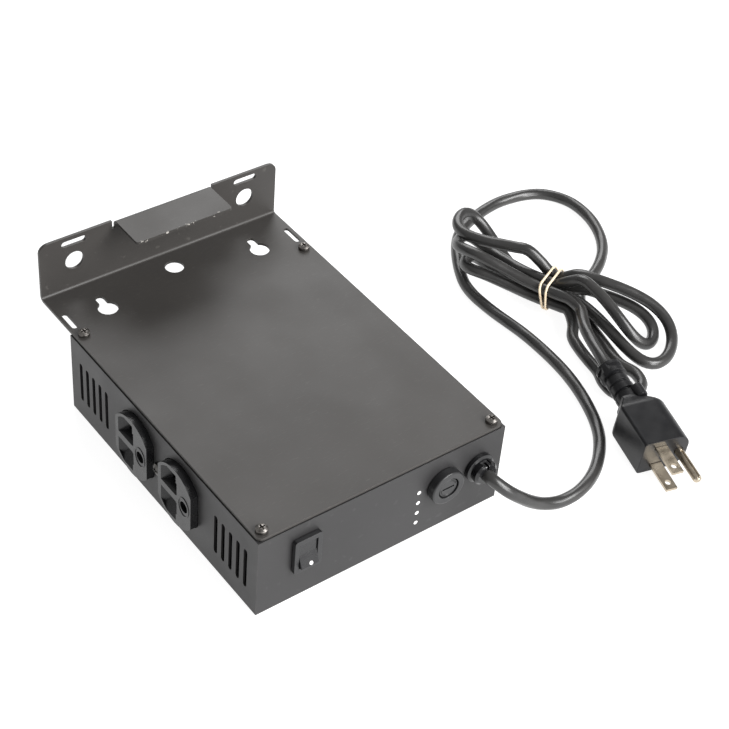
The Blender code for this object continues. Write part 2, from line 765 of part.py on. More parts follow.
def plate_cutters():
    """Holes of the plate, its overhang and its flange."""
    thick = PLATE_THICKNESS + 2 * THROUGH
    level = LID_TOP - PLATE_THICKNESS / 2
    flat = [rod(CENTRE_HOLE_RADIUS, thick, (0, FLANGE_Y - CENTRE_HOLE_FROM_FLANGE, level))]
    keyhole = keyhole_outline(KEYHOLE_RADIUS, KEYHOLE_SLOT, KEYHOLE_REACH)
    flat += [prism([keyhole], thick, (x, y, level)) for x, y in keyhole_places()]
    edge_slot = slot_outline(EDGE_SLOT_LENGTH, EDGE_SLOT_WIDTH, upright=True)
    edge_x = HALF_WIDTH - EDGE_SLOT_FROM_SIDE
    edge_y = FLANGE_Y - EDGE_SLOT_FROM_FLANGE
    flat += [prism([edge_slot], thick, (side * edge_x, edge_y, level)) for side in (-1, 1)]
    flat += [rod(SCREW_RADIUS + GAP, thick, (x, y, level)) for x, y in lid_screw_places()]
    wall_y = FLANGE_Y - PLATE_THICKNESS / 2
    slot = slot_outline(FLANGE_SLOT_LENGTH, FLANGE_SLOT_WIDTH)
    upright = []
    for side in (-1, 1):
        x = side * FLANGE_HOLE_SPACING / 2
        upright.append(rod(FLANGE_HOLE_RADIUS, thick, (x, wall_y, LID_TOP + FLANGE_HOLE_HEIGHT), "Y"))
        upright.append(prism([slot], thick, (x, wall_y, LID_TOP + FLANGE_SLOT_HEIGHT), "Y"))
    return gather(flat, "plate_holes"), gather(upright, "flange_holes")


def lid_screws():
    """Four pan-head screws through the plate into the tray's lips."""
    places = lid_screw_places()
    screw = pan_screw(SCREW_LENGTH, SCREW_HEAD_RADIUS, "lid_screw")
    names = [f"lid_screw_{index + 1}" for index in range(len(places))]
    copies(screw, names, [Matrix.Translation((x, y, LID_TOP + GAP)) for x, y in places])


# Receptacles, made in a wall's frame: x runs into the box from the wall's outer face, y
# along the wall from its middle, z up from the table


def block_front():
    """Depth of the receptacle block's front face."""
    return SHEET + GAP


def outlet_centres():
    """Places along the wall of the two outlet faces."""
    return (-OUTLET_SPACING / 2, OUTLET_SPACING / 2)


def slot_places():
    """Places (along the wall, up) of the four blade slots."""
    up = BLADE_SPACING / 2
    return [(y + BLADE_SHIFT, OUTLET_HEIGHT + side * up) for y in outlet_centres() for side in (-1, 1)]


def funnel(y, z):
    """Tapered lead-in of one blade slot."""
    shape = bmesh.new()
    bmesh.ops.create_cube(shape, size=1.0)
    bmesh.ops.scale(shape, vec=(FUNNEL_DEPTH + THROUGH, FUNNEL_LENGTH, FUNNEL_WIDTH), verts=shape.verts)
    inner = [vert for vert in shape.verts if vert.co.x > 0]
    bmesh.ops.scale(shape, vec=(1, SLOT_LENGTH / FUNNEL_LENGTH, SLOT_WIDTH / FUNNEL_WIDTH), verts=inner)
    x = -FACE_PROUD + (FUNNEL_DEPTH - THROUGH) / 2
    return from_bmesh(shape, "funnel", (x, y, z))


def receptacle_body():
    """Moulded block with two proud faces and their slots."""
    front = block_front()
    middle = front + BLOCK_DEPTH / 2
    block = cuboid((BLOCK_DEPTH, BLOCK_LENGTH, BLOCK_HEIGHT), (middle, 0, OUTLET_HEIGHT))
    face = flatted_circle(FACE_RADIUS, FACE_HALF_FLAT)
    face_length = FACE_PROUD + front + THROUGH
    face_x = face_length / 2 - FACE_PROUD
    for y in outlet_centres():
        fuse(block, prism([face], face_length, (face_x, y, OUTLET_HEIGHT), "X"))
    holes = [funnel(y, z) for y, z in slot_places()]
    cut(block, gather(holes, "funnels"))
    slots = []
    for y, z in slot_places():
        size = (SLOT_BOTTOM + FACE_PROUD / 2, SLOT_LENGTH, SLOT_WIDTH)
        slots.append(cuboid(size, (SLOT_BOTTOM / 2 - FACE_PROUD / 4, y, z)))
    cut(block, gather(slots, "blade_slots"))
    grounds = []
    for y in outlet_centres():
        profile = [
            (0, FACE_PROUD + THROUGH),
            (GROUND_HOLE_RADIUS, FACE_PROUD + THROUGH),
            (GROUND_HOLE_RADIUS, -CONTACT_START),
            (CONTACT_RADIUS, -CONTACT_START),
            (CONTACT_RADIUS, -2 * BLOCK_DEPTH),
            (0, -2 * BLOCK_DEPTH),
        ]
        hole = turned(profile, (0, 0, 0), sides=16)
        facing = Matrix.Rotation(-math.pi / 2, 4, "Y")
        hole.matrix_world = Matrix.Translation((0, y - GROUND_SHIFT, OUTLET_HEIGHT)) @ facing
        grounds.append(hole)
    cut(block, gather(grounds, "ground_holes"))
    cut(block, rod(POST_RADIUS + GAP, 4 * BLOCK_DEPTH, (0, 0, OUTLET_HEIGHT), "X", sides=16))
    channel_size = (CONTACT_SHEET + 2 * GAP, OUTLET_SPACING, STRIP_HEIGHT + 2 * GAP)
    channel_x = SLOT_BOTTOM - GAP - CONTACT_SHEET / 2
    cut(block, cuboid(channel_size, (channel_x, BLADE_SHIFT, OUTLET_HEIGHT + BLADE_SPACING / 2)))
    return block


def contact_fork(y, z):
    """Sprung brass fork behind one blade slot."""
    outer = SLOT_WIDTH / 2 - GAP
    inner = outer - CONTACT_SHEET
    start = CONTACT_START + GAP
    end = SLOT_BOTTOM - GAP
    outline = [
        (start, inner),
        (start, outer),
        (end, outer),
        (end, -outer),
        (start, -outer),
        (start, -inner),
        (end - CONTACT_SHEET, -inner),
        (end - CONTACT_SHEET, inner),
    ]
    return prism([outline], SLOT_LENGTH - 2 * GAP, (0, y, z), "Y")


def neutral_contact():
    """Both outlets' upper forks on one strip through the block's channel."""
    z = OUTLET_HEIGHT + BLADE_SPACING / 2
    first, second = [contact_fork(y + BLADE_SHIFT, z) for y in outlet_centres()]
    strip_x = SLOT_BOTTOM - GAP - CONTACT_SHEET / 2
    strip = cuboid((CONTACT_SHEET, OUTLET_SPACING, STRIP_HEIGHT), (strip_x, BLADE_SHIFT, z))
    return fuse(first, second, strip)


def hot_contact(outlet):
    """Lower fork of one outlet, a channel of its own."""
    y = outlet_centres()[outlet] + BLADE_SHIFT
    return contact_fork(y, OUTLET_HEIGHT - BLADE_SPACING / 2)


def receptacle_strap():
    """Steel yoke round the block's back, with ears, ground sleeves and a tapped post."""
    half = STRAP_SHEET / 2
    front = block_front() + half
    back = block_front() + BLOCK_DEPTH + GAP + half
    side = BLOCK_LENGTH / 2 + GAP + half
    path = [(front, -side - STRAP_EAR), (front, -side), (back, -side)]
    path += [(x, -y) for x, y in reversed(path)]
    shape = bmesh.new()
    bottom = OUTLET_HEIGHT - STRAP_WIDTH / 2
    verts = [shape.verts.new((x, y, bottom)) for x, y in path]
    edges = [shape.edges.new(pair) for pair in zip(verts, verts[1:])]
    made = bmesh.ops.extrude_edge_only(shape, edges=edges)["geom"]
    top = [item for item in made if isinstance(item, bmesh.types.BMVert)]
    bmesh.ops.translate(shape, verts=top, vec=(0, 0, STRAP_WIDTH))
    bmesh.ops.recalc_face_normals(shape, faces=shape.faces)
    strap = from_bmesh(shape, "strap")
    shell = strap.modifiers.new("Sheet", "SOLIDIFY")
    shell.thickness = STRAP_SHEET
    shell.offset = 0
    shell.use_even_offset = True
    post_length = back - block_front()
    post_x = block_front() + post_length / 2
    fuse(strap, rod(POST_RADIUS, post_length, (post_x, 0, OUTLET_HEIGHT), "X", 16))
    sleeve_start = CONTACT_START + GAP
    sleeve_x = (sleeve_start + back) / 2
    holes = []
    for y in outlet_centres():
        centre = (sleeve_x, y - GROUND_SHIFT, OUTLET_HEIGHT)
        fuse(strap, rod(CONTACT_RADIUS - GAP, back - sleeve_start, centre, "X", 16))
        bore_radius = CONTACT_RADIUS - GAP - CONTACT_SHEET / 2
        bore_length = 2 * (SLOT_BOTTOM - sleeve_start)
        holes.append(rod(bore_radius, bore_length, (sleeve_start, *centre[1:]), "X", 16))
    holes.append(rod(SCREW_RADIUS + GAP, 2 * POST_BORE_DEPTH, (0, 0, OUTLET_HEIGHT), "X", 16))
    ear_y = side + STRAP_EAR / 2
    for y in (-ear_y, ear_y):
        holes.append(rod(SCREW_RADIUS + GAP, 2 * THROUGH, (front, y, OUTLET_HEIGHT), "X", 12))
    return cut(strap, *holes)


def receptacles():
    """Both duplex receptacles, the right one turned half round."""
    half_turn = Matrix.Rotation(math.pi, 4, "Z")
    walls = (
        Matrix.Translation((-HALF_WIDTH, MIDDLE_Y, 0)),
        Matrix.Translation((HALF_WIDTH, MIDDLE_Y, 0)) @ half_turn,
    )
    kinds = (
        ("receptacle_body", receptacle_body(), BLACK_PLASTIC),
        ("neutral_contact", neutral_contact(), BRASS),
        ("hot_contact_1", hot_contact(0), BRASS),
        ("hot_contact_2", hot_contact(1), BRASS),
        ("receptacle_strap", receptacle_strap(), STEEL),
    )
    for kind, piece, finish in kinds:
        made = part(gather([piece], kind), kind, finish)
        copies(made, [f"{kind}_left", f"{kind}_right"], walls)
    screw = pan_screw(CENTRE_SCREW_LENGTH, CENTRE_SCREW_HEAD_RADIUS, "receptacle_screw")
    facing = Matrix.Translation((-GAP, 0, OUTLET_HEIGHT)) @ Matrix.Rotation(-math.pi / 2, 4, "Y")
    names = ["receptacle_screw_left", "receptacle_screw_right"]
    copies(screw, names, [wall @ facing for wall in walls])


# Rocker switch


def rocker_switch():
    """Snap-in housing, its paddle on a pivot and its two blade terminals."""
    x = ROCKER_FROM_LEFT - HALF_WIDTH
    bezel_outline = rounded_rectangle(BEZEL_WIDTH, BEZEL_HEIGHT, BEZEL_CORNER)
    bezel_depth = BEZEL_PROUD - GAP
    bezel_y = FRONT_Y - GAP - bezel_depth / 2
    housing = prism([bezel_outline], bezel_depth, (x, bezel_y, PANEL_HEIGHT), "Y")
    body_length = HOUSING_DEPTH + GAP + bezel_depth / 2
    body_y = FRONT_Y + HOUSING_DEPTH - body_length / 2
    fuse(housing, cuboid((HOUSING_WIDTH, body_length, HOUSING_HEIGHT), (x, body_y, PANEL_HEIGHT)))
    latch_y = FRONT_Y + SHEET + GAP + LATCH_DEPTH / 2
    latch_width = HOUSING_WIDTH + 2 * LATCH_REACH
    fuse(housing, cuboid((latch_width, LATCH_DEPTH, LATCH_HEIGHT), (x, latch_y, PANEL_HEIGHT)))
    cavity_width = PADDLE_WIDTH + 2 * GAP
    cavity_height = 2 * (PADDLE_RADIUS + GAP)
    cavity_length = 2 * (BEZEL_PROUD + ROCKER_CAVITY)
    cavity_y = FRONT_Y + ROCKER_CAVITY - cavity_length / 2
    cavity = cuboid((cavity_width, cavity_length, cavity_height), (x, cavity_y, PANEL_HEIGHT))
    pivot_y = FRONT_Y - PIVOT_PROUD
    pin_length = PADDLE_WIDTH + 2 * PIVOT_LENGTH
    pivot_hole = rod(PIVOT_RADIUS + GAP, pin_length + 2 * GAP, (x, pivot_y, PANEL_HEIGHT), "X", 16)
    cut(housing, cavity, pivot_hole)
    slots = []
    blade_y = FRONT_Y + ROCKER_CAVITY + GAP + TERMINAL_LENGTH / 2
    for index, side in enumerate((-1, 1)):
        z = PANEL_HEIGHT + side * ROCKER_TERMINAL_SPACING / 2
        slot_size = (TERMINAL_WIDTH + 2 * GAP, 2 * TERMINAL_LENGTH, TERMINAL_SHEET + 2 * GAP)
        slots.append(cuboid(slot_size, (x, blade_y, z)))
        blade = cuboid((TERMINAL_WIDTH, TERMINAL_LENGTH, TERMINAL_SHEET), (x, blade_y, z))
        part(blade, f"rocker_terminal_{index + 1}", BRASS)
    cut(housing, gather(slots, "terminal_slots"))
    part(housing, "rocker_housing", BLACK_PLASTIC)
    paddle = prism([paddle_outline()], PADDLE_WIDTH, (0, 0, 0), "X")
    fuse(paddle, rod(PIVOT_RADIUS, pin_length, (0, 0, 0), "X", 16))
    paddle = gather([paddle], "rocker_paddle")
    paddle.location = (x, pivot_y, PANEL_HEIGHT)
    paddle.rotation_euler = Euler((-PADDLE_TILT, 0, 0))
    part(paddle, "rocker_paddle", BLACK_PLASTIC)


def paddle_outline():
    """Side view of the paddle about its pivot, level: round ends and a shallow valley."""
    top = arc(PADDLE_RADIUS, math.pi / 2 + PADDLE_CORNER_ANGLE, math.pi / 2 - PADDLE_HEEL_ANGLE, 6)
    low = [(x, -y) for x, y in reversed(top)]
    corner_x, corner_y = top[0]
    valley = (corner_x + corner_y * math.tan(PADDLE_TILT), 0.0)
    return top + low + [valley]


# Fuse holder


def fuse_holder():
    """Panel fuse holder with its nut, bayonet cap, fuse and contacts."""
    x = FUSE_FROM_LEFT - HALF_WIDTH
    centre = (x, FRONT_Y, PANEL_HEIGHT)
    bevel = FUSE_BEVEL
    seat = CAP_SEAT
    mouth = CAP_RADIUS + GAP
    end = -FUSE_BODY_DEPTH
    hole = FUSE_PIN_RADIUS + GAP
    profile = [
        (mouth, FUSE_PROUD),
        (FUSE_RING_RADIUS - bevel, FUSE_PROUD),
        (FUSE_RING_RADIUS, FUSE_PROUD - bevel),
        (FUSE_RING_RADIUS, GAP),
        (FUSE_THREAD_RADIUS, GAP),
        (FUSE_THREAD_RADIUS, end),
        (hole, end),
        (hole, end + FUSE_WALL),
        (FUSE_BORE_RADIUS, end + FUSE_WALL),
        (FUSE_BORE_RADIUS, seat),
        (mouth, seat),
    ]
    body = turned(profile, centre, "Y", 32, ring=True)
    part(gather([body], "fuse_holder_body"), "fuse_holder_body", BLACK_PLASTIC)
    nut_depth = SHEET + GAP + FUSE_NUT_THICKNESS / 2
    nut = rod(FUSE_NUT_RADIUS, FUSE_NUT_THICKNESS, (x, FRONT_Y + nut_depth, PANEL_HEIGHT), "Y", 6)
    cut(nut, rod(FUSE_THREAD_RADIUS + GAP, 4 * FUSE_NUT_THICKNESS, centre, "Y"))
    part(nut, "fuse_holder_nut", BLACK_PLASTIC)
    head_top = FUSE_PROUD - CAP_RECESS
    shank = FUSE_BORE_RADIUS - GAP
    cap_end = seat + GAP - CAP_SHANK_LENGTH
    pocket = FUSE_RADIUS + GAP
    pocket_top = -CAP_SEAT
    cap_profile = [
        (0, head_top),
        (CAP_RADIUS - bevel, head_top),
        (CAP_RADIUS, head_top - bevel),
        (CAP_RADIUS, seat + GAP),
        (shank, seat + GAP),
        (shank, cap_end),
        (pocket, cap_end),
        (pocket, pocket_top),
        (0, pocket_top),
    ]
    cap = turned(cap_profile, (0, 0, 0), "Y")
    cut(cap, cuboid((CAP_SLOT_LENGTH, 2 * CAP_SLOT_WIDTH, CAP_SLOT_WIDTH), (0, -head_top, 0)))
    cap = gather([cap], "fuse_cap")
    cap.location = centre
    part(cap, "fuse_cap", BLACK_PLASTIC)
    fuse_top = pocket_top - GAP
    glass_outer = FUSE_RADIUS - FUSE_CAP_WALL - GAP / 2
    glass_top = fuse_top - FUSE_CAP_WALL - GAP / 2
    glass_end = fuse_top - FUSE_LENGTH + FUSE_CAP_WALL + GAP / 2
    glass_profile = [
        (glass_outer, glass_top),
        (glass_outer, glass_end),
        (glass_outer - GLASS_WALL, glass_end),
        (glass_outer - GLASS_WALL, glass_top),
    ]
    glass = turned(glass_profile, centre, "Y", 16, ring=True)
    part(gather([glass], "fuse_glass"), "fuse_glass", GLASS)
    part(fuse_element(x, fuse_top), "fuse_element", NICKEL)
    disc_top = fuse_top - FUSE_LENGTH - GAP
    disc_radius = FUSE_BORE_RADIUS - GAP
    pin_profile = [
        (0, disc_top),
        (disc_radius, disc_top),
        (disc_radius, disc_top - CONTACT_SHEET),
        (FUSE_PIN_RADIUS, disc_top - CONTACT_SHEET),
        (FUSE_PIN_RADIUS, end - FUSE_PIN_TAIL),
        (0, end - FUSE_PIN_TAIL),
    ]
    pin = turned(pin_profile, centre, "Y", 16)
    part(gather([pin], "fuse_end_contact"), "fuse_end_contact", BRASS)
    lug_size = (TERMINAL_SHEET, TERMINAL_LENGTH, TERMINAL_WIDTH)
    lug_x = x + FUSE_THREAD_RADIUS + GAP + TERMINAL_SHEET / 2
    lug = cuboid(lug_size, (lug_x, FRONT_Y + FUSE_LUG_DEPTH, PANEL_HEIGHT))
    part(lug, "fuse_side_terminal", BRASS)


def fuse_element(x, top):
    """The fuse's two metal end caps with its wire between them."""
    half = FUSE_LENGTH / 2
    wall = FUSE_RADIUS - FUSE_CAP_WALL
    floor = half - FUSE_CAP_WALL
    rim = half - FUSE_CAP_LENGTH
    profile = [
        (0, half),
        (FUSE_RADIUS, half),
        (FUSE_RADIUS, rim),
        (wall, rim),
        (wall, floor),
        (FUSE_WIRE_RADIUS, floor),
    ]
    profile += [(radius, -height) for radius, height in reversed(profile)]
    element = turned(profile, (x, FRONT_Y - top + half, PANEL_HEIGHT), "Y", 16)
    return gather([element], "fuse_element")


# Cord gland and the cord's stretch inside the box


def cord_gland():
    """Strain relief in the end panel, with the cord that it grips."""
    x = GLAND_FROM_LEFT - HALF_WIDTH
    centre = (x, FRONT_Y, GLAND_HEIGHT)
    bore = CORD_RADIUS + GAP
    barb = GLAND_NECK_RADIUS + GLAND_BARB
    profile = [
        (bore, GLAND_PROUD),
        (GLAND_HEAD_RADIUS - GLAND_SHOULDER, GLAND_PROUD),
        (GLAND_HEAD_RADIUS, GLAND_PROUD - GLAND_SHOULDER),
        (GLAND_HEAD_RADIUS, GAP),
        (GLAND_NECK_RADIUS, GAP),
        (GLAND_NECK_RADIUS, -SHEET - GAP),
        (barb, -SHEET - GAP),
        (GLAND_NECK_RADIUS, -SHEET - GAP - GLAND_TAIL),
        (bore, -SHEET - GAP - GLAND_TAIL),
    ]
    gland = turned(profile, centre, "Y", ring=True)
    part(gather([gland], "cord_gland"), "cord_gland", BLACK_PLASTIC)
    length = GLAND_PROUD + JACKET_INSIDE
    jacket = rod(CORD_RADIUS, length, (x, FRONT_Y - GLAND_PROUD + length / 2, GLAND_HEIGHT), "Y", 16)
    part(jacket, "cord_inlet_jacket", BLACK_VINYL)


# Free cord, hank, band and plug.  The routes are measured from the box's near left corner:
# DROP_ROUTE falls from the gland to the table, TABLE_ROUTE lies on it, and LEAD_ROUTE runs
# from the hank to the plug.

DROP_ROUTE = (
    (0.1274, -0.0132, 0.0279), (0.1302, -0.0164, 0.0252), (0.1354, -0.0186, 0.0204),
    (0.1418, -0.0200, 0.0146), (0.1492, -0.0212, 0.0091), (0.1570, -0.0222, 0.0051),
)
TABLE_ROUTE = (
    (0.1655, -0.0234), (0.1760, -0.0230), (0.1900, -0.0180), (0.2045, -0.0070),
    (0.2160, 0.0080), (0.2280, 0.0415), (0.2310, 0.0780), (0.2280, 0.1145),
    (0.2300, 0.1340), (0.2490, 0.1655), (0.2620, 0.1755), (0.2900, 0.1835),
    (0.3060, 0.1830), (0.3220, 0.1775), (0.3320, 0.1630), (0.3315, 0.1420),
    (0.3215, 0.1210), (0.3075, 0.1080), (0.2950, 0.1015), (0.2845, 0.0975),
    (0.2700, 0.0800), (0.2640, 0.0600), (0.2590, 0.0360), (0.2610, 0.0255),
    (0.2565, 0.0175), (0.2500, 0.0155), (0.2435, 0.0180), (0.2400, 0.0255),
    (0.2445, 0.0380), (0.2475, 0.0540), (0.2515, 0.0670),
)
LEAD_ROUTE = ((0.2605, 0.0730, 0.0144), (0.2500, 0.0575, 0.0165))


class Lobe(NamedTuple):
    """One loop end of the hank, out from the waist and back to it."""

    # Which end of the runs it stands on, and the side that it first bellies out to
    side: int
    first: int
    # Strand left by and strand come back on: pitches across the waist and layer height
    leave: tuple
    come_back: tuple
    # Length past the waist, half its belly and the sideways shift of its tip
    reach: float
    belly: float
    swing: float
    # Heights going out, at the tip and coming back, and the share of the way to the first
    heights: tuple
    mid: float


LOBES = (
    Lobe(
        side=1,
        first=-1,
        leave=(-1, LOW_LAYER),
        come_back=(0, LOW_LAYER),
        reach=0.0474,
        belly=0.0082,
        swing=0.0013,
        heights=(0.0145, 0.0115, 0.0039),
        mid=0.53,
    ),
    Lobe(
        side=-1,
        first=-1,
        leave=(0, LOW_LAYER),
        come_back=(1, TOP_LAYER),
        reach=0.0717,
        belly=0.0159,
        swing=-0.0113,
        heights=(0.0109, 0.0033, 0.0213),
        mid=0.10,
    ),
    Lobe(
        side=1,
        first=-1,
        leave=(1, TOP_LAYER),
        come_back=(1, LOW_LAYER),
        reach=0.0610,
        belly=0.0121,
        swing=0.0059,
        heights=(0.0260, 0.0260, 0.0033),
        mid=0.16,
    ),
    Lobe(
        side=-1,
        first=1,
        leave=(1, LOW_LAYER),
        come_back=(0, TOP_LAYER),
        reach=0.0596,
        belly=0.0100,
        swing=-0.0055,
        heights=(0.0124, 0.0033, 0.0260),
        mid=0.16,
    ),
    Lobe(
        side=1,
        first=1,
        leave=(0, TOP_LAYER),
        come_back=(-1, TOP_LAYER),
        reach=0.0556,
        belly=0.0101,
        swing=0.0076,
        heights=(0.0105, 0.0182, 0.0245),
        mid=0.52,
    ),
)


def from_corner(point):
    """World place of a point measured from the box's near left corner."""
    return Vector((point[0] - HALF_WIDTH, point[1] + FRONT_Y, point[2]))


def at_waist(along, across, height):
    """World place from distances along the hank's runs and across them at the waist."""
    run = Vector((math.cos(WAIST_ANGLE), math.sin(WAIST_ANGLE)))
    width = Vector((math.sin(WAIST_ANGLE), -math.cos(WAIST_ANGLE)))
    plan = Vector(WAIST) + run * along + width * across
    return from_corner((plan.x, plan.y, height))


def ease(share):
    """Smooth step from 0 to 1."""
    return share * share * (3 - 2 * share)


def lobe_points(lobe):
    """Points of one lobe, from the waist out and back."""
    stations = (0, lobe.mid, 1, 2 - lobe.mid, 2)
    levels = (lobe.leave[1], *lobe.heights, lobe.come_back[1])
    points = []
    for index in range(LOOP_POINTS + 1):
        turn = math.pi * index / LOOP_POINTS
        out = math.sin(turn)
        moved = (lobe.come_back[0] - lobe.leave[0]) * (1 - math.cos(turn)) / 2
        belly = lobe.first * lobe.belly * BELLY_FACTOR * math.cos(turn)
        across = STRAND_PITCH * (lobe.leave[0] + moved) + (belly + lobe.swing) * out * out
        quarter = 2 * index / LOOP_POINTS
        stage = max(number for number in range(4) if stations[number] <= quarter + 1e-9)
        share = (quarter - stations[stage]) / (stations[stage + 1] - stations[stage])
        height = levels[stage] + (levels[stage + 1] - levels[stage]) * ease(min(share, 1))
        along = TIE_REACH[lobe.side > 0] + lobe.side * lobe.reach * out
        points.append(at_waist(along, across, height))
    return points


def hank_points():
    """The whole hank as one line, from the free cord's strand to the plug's."""
    points = [at_waist(-HANK_START, -STRAND_PITCH, LOW_LAYER)]
    for lobe in LOBES:
        points += lobe_points(lobe)
    points.append(at_waist(-HANK_START, -STRAND_PITCH, TOP_LAYER))
    return points


def smooth_route(points):
    """Fine points of a centripetal curve through the route's points."""
    route = [2 * points[0] - points[1], *points, 2 * points[-1] - points[-2]]
    fine = []
    for before, here, there, after in zip(route, route[1:], route[2:], route[3:]):
        knots = [0.0]
        for start, end in ((before, here), (here, there), (there, after)):
            knots.append(knots[-1] + math.sqrt((end - start).length))
        for step in range(FINE_STEPS):
            time = knots[1] + (knots[2] - knots[1]) * step / FINE_STEPS
            level = [before, here, there, after]
            for width in (1, 2, 3):
                level = [
                    blend(level[i], level[i + 1], knots, i, width, time)
                    for i in range(len(level) - 1)
                ]
            fine.append(level[0])
    fine.append(points[-1])
    return fine


def blend(first, second, knots, index, width, time):
    """One interpolation of the centripetal curve's pyramid."""
    if width == 1:
        low, high = knots[index], knots[index + 1]
    elif width == 2:
        low, high = knots[index], knots[index + 2]
    else:
        low, high = knots[1], knots[2]
    share = (time - low) / (high - low)
    return first * (1 - share) + second * share


def even_points(fine, step):
    """Points at even steps along a fine line, both ends kept."""
    lengths = [0.0]
    for start, end in zip(fine, fine[1:]):
        lengths.append(lengths[-1] + (end - start).length)
    count = max(1, round(lengths[-1] / step))
    points = []
    at = 0
    for index in range(count + 1):
        wanted = lengths[-1] * index / count
        while at < len(fine) - 2 and lengths[at + 1] < wanted:
            at += 1
        share = (wanted - lengths[at]) / (lengths[at + 1] - lengths[at])
        points.append(fine[at].lerp(fine[at + 1], min(share, 1)))
    return points


def on_table(points):
    """Keep the cord's centre line a radius above the table."""
    least = CORD_RADIUS + TABLE_CLEARANCE
    return [Vector((point.x, point.y, max(point.z, least))) for point in points]


def least_gap(points, radius):
    """Least distance between a tube's turns, measured between points along its line."""
    fineness = 3
    skipped = 4 * fineness
    fine = even_points(points, radius / fineness)
    least = 1.0
    for index, here in enumerate(fine):
        for there in fine[index + skipped:]:
            least = min(least, (here - there).length)
    return least - 2 * radius


def stubbed(start, start_way, route, end, end_way):
    """A cord's points: a straight stub at each end and even steps between."""
    first = start + start_way * CORD_STUB
    last = end - end_way * CORD_STUB
    line = smooth_route([first, *route, last])
    return [start, *on_table(even_points(line, CORD_STEP)), end]


def plug_frame():
    """Frame of the plug: x out of its face along the prongs."""
    turn = Matrix.Rotation(PLUG_YAW, 4, "Z") @ Matrix.Rotation(PLUG_PITCH, 4, "Y")
    turn = turn @ Matrix.Rotation(PLUG_ROLL, 4, "X")
    return Matrix.Translation(from_corner(PLUG_FACE)) @ turn


def cords():
    """The free cord, the hank, the plug's lead and the rubber band."""
    exit_point = Vector((GLAND_FROM_LEFT - HALF_WIDTH, FRONT_Y - GLAND_PROUD - GAP, GLAND_HEIGHT))
    run = Vector((math.cos(WAIST_ANGLE), math.sin(WAIST_ANGLE), 0))
    hank = hank_points()
    entry = hank[0] - run * GAP
    lying = [(x, y, CORD_RADIUS + TABLE_CLEARANCE) for x, y in TABLE_ROUTE]
    route = [from_corner(point) for point in [*DROP_ROUTE, *lying]]
    entry_height = LOW_LAYER - ENTRY_DROP
    route.append(at_waist(-ENTRY_REACH, -STRAND_PITCH - ENTRY_SHIFT, entry_height))
    free = stubbed(exit_point, Vector((0, -1, 0)), route, entry, run)
    part(tube(free, CORD_RADIUS), "power_cord", BLACK_VINYL)
    self_gap = least_gap(hank, CORD_RADIUS)
    print(f"hank: least gap to itself {self_gap * 1000:.2f} mm")
    part(tube(hank, CORD_RADIUS, 1), "power_cord_hank", BLACK_VINYL)
    frame = plug_frame()
    forward = (frame.to_3x3() @ Vector((1, 0, 0))).normalized()
    neck = frame @ Vector((-PLUG_LENGTH - GAP, 0, 0))
    lead_start = hank[-1] - run * GAP
    lead_route = [at_waist(-ENTRY_REACH, -STRAND_PITCH - LEAD_SHIFT, TOP_LAYER)]
    lead_route += [from_corner(point) for point in LEAD_ROUTE]
    lead = stubbed(lead_start, -run, lead_route, neck, forward)
    part(tube(lead, CORD_RADIUS), "plug_lead", BLACK_VINYL)
    cord_band()


def cord_band():
    """Rubber band round the waist, a flat ring."""
    inner_width = 2 * (STRAND_PITCH + CORD_RADIUS + GAP)
    inner_height = TOP_LAYER - LOW_LAYER + 2 * (CORD_RADIUS + GAP)
    corner = CORD_RADIUS + GAP
    inner = rounded_rectangle(inner_width, inner_height, corner, 4)
    outer_size = (inner_width + 2 * BAND_THICKNESS, inner_height + 2 * BAND_THICKNESS)
    outer = rounded_rectangle(*outer_size, corner + BAND_THICKNESS, 4)
    band = prism([outer, inner], BAND_WIDTH, (0, 0, 0), "Y")
    turn = Matrix.Rotation(WAIST_ANGLE - math.pi / 2, 4, "Z")
    middle = at_waist(sum(TIE_REACH) / 2, 0, (LOW_LAYER + TOP_LAYER) / 2)
    band.matrix_world = Matrix.Translation(middle) @ turn @ band.matrix_world
    part(band, "cord_band", CREAM_RUBBER)


def plug_outline():
    """Outline of the plug's face: flat on the blades' side, round on the ground pin's."""
    points = []
    quarter = math.pi / 2
    corners = (
        (1, 1, PLUG_ROUND_CORNER, 5),
        (-1, 1, PLUG_FLAT_CORNER, 2),
        (-1, -1, PLUG_FLAT_CORNER, 2),
        (1, -1, PLUG_ROUND_CORNER, 5),
    )
    for index, (side_y, side_z, corner, steps) in enumerate(corners):
        middle = (side_y * (PLUG_WIDTH / 2 - corner), side_z * (PLUG_HEIGHT / 2 - corner))
        points += arc(corner, index * quarter, (index + 1) * quarter, steps, middle)
    return points


def plug_block():
    """Plug's block with its shoulder drawn in towards the cord."""
    shape = bmesh.new()
    end = shape.faces.new([shape.verts.new((0, y, z)) for y, z in plug_outline()])
    tip_y = 2 * PLUG_SHOULDER_TIP / PLUG_WIDTH
    tip_z = 2 * PLUG_SHOULDER_TIP / PLUG_HEIGHT
    reached, width, height = 0.0, 1.0, 1.0
    for step in range(PLUG_SHOULDER_STEPS + 1):
        share = step / PLUG_SHOULDER_STEPS
        depth = PLUG_BLOCK + PLUG_SHOULDER * share
        scale_y = 1 - (1 - tip_y) * ease(share)
        scale_z = 1 - (1 - tip_z) * ease(share)
        made = bmesh.ops.extrude_face_region(shape, geom=[end, *end.edges, *end.verts])["geom"]
        end = next(item for item in made if isinstance(item, bmesh.types.BMFace))
        bmesh.ops.scale(shape, vec=(1, scale_y / width, scale_z / height), verts=end.verts)
        bmesh.ops.translate(shape, vec=(reached - depth, 0, 0), verts=end.verts)
        reached, width, height = depth, scale_y, scale_z
    bmesh.ops.recalc_face_normals(shape, faces=shape.faces)
    return from_bmesh(shape, "plug_block")


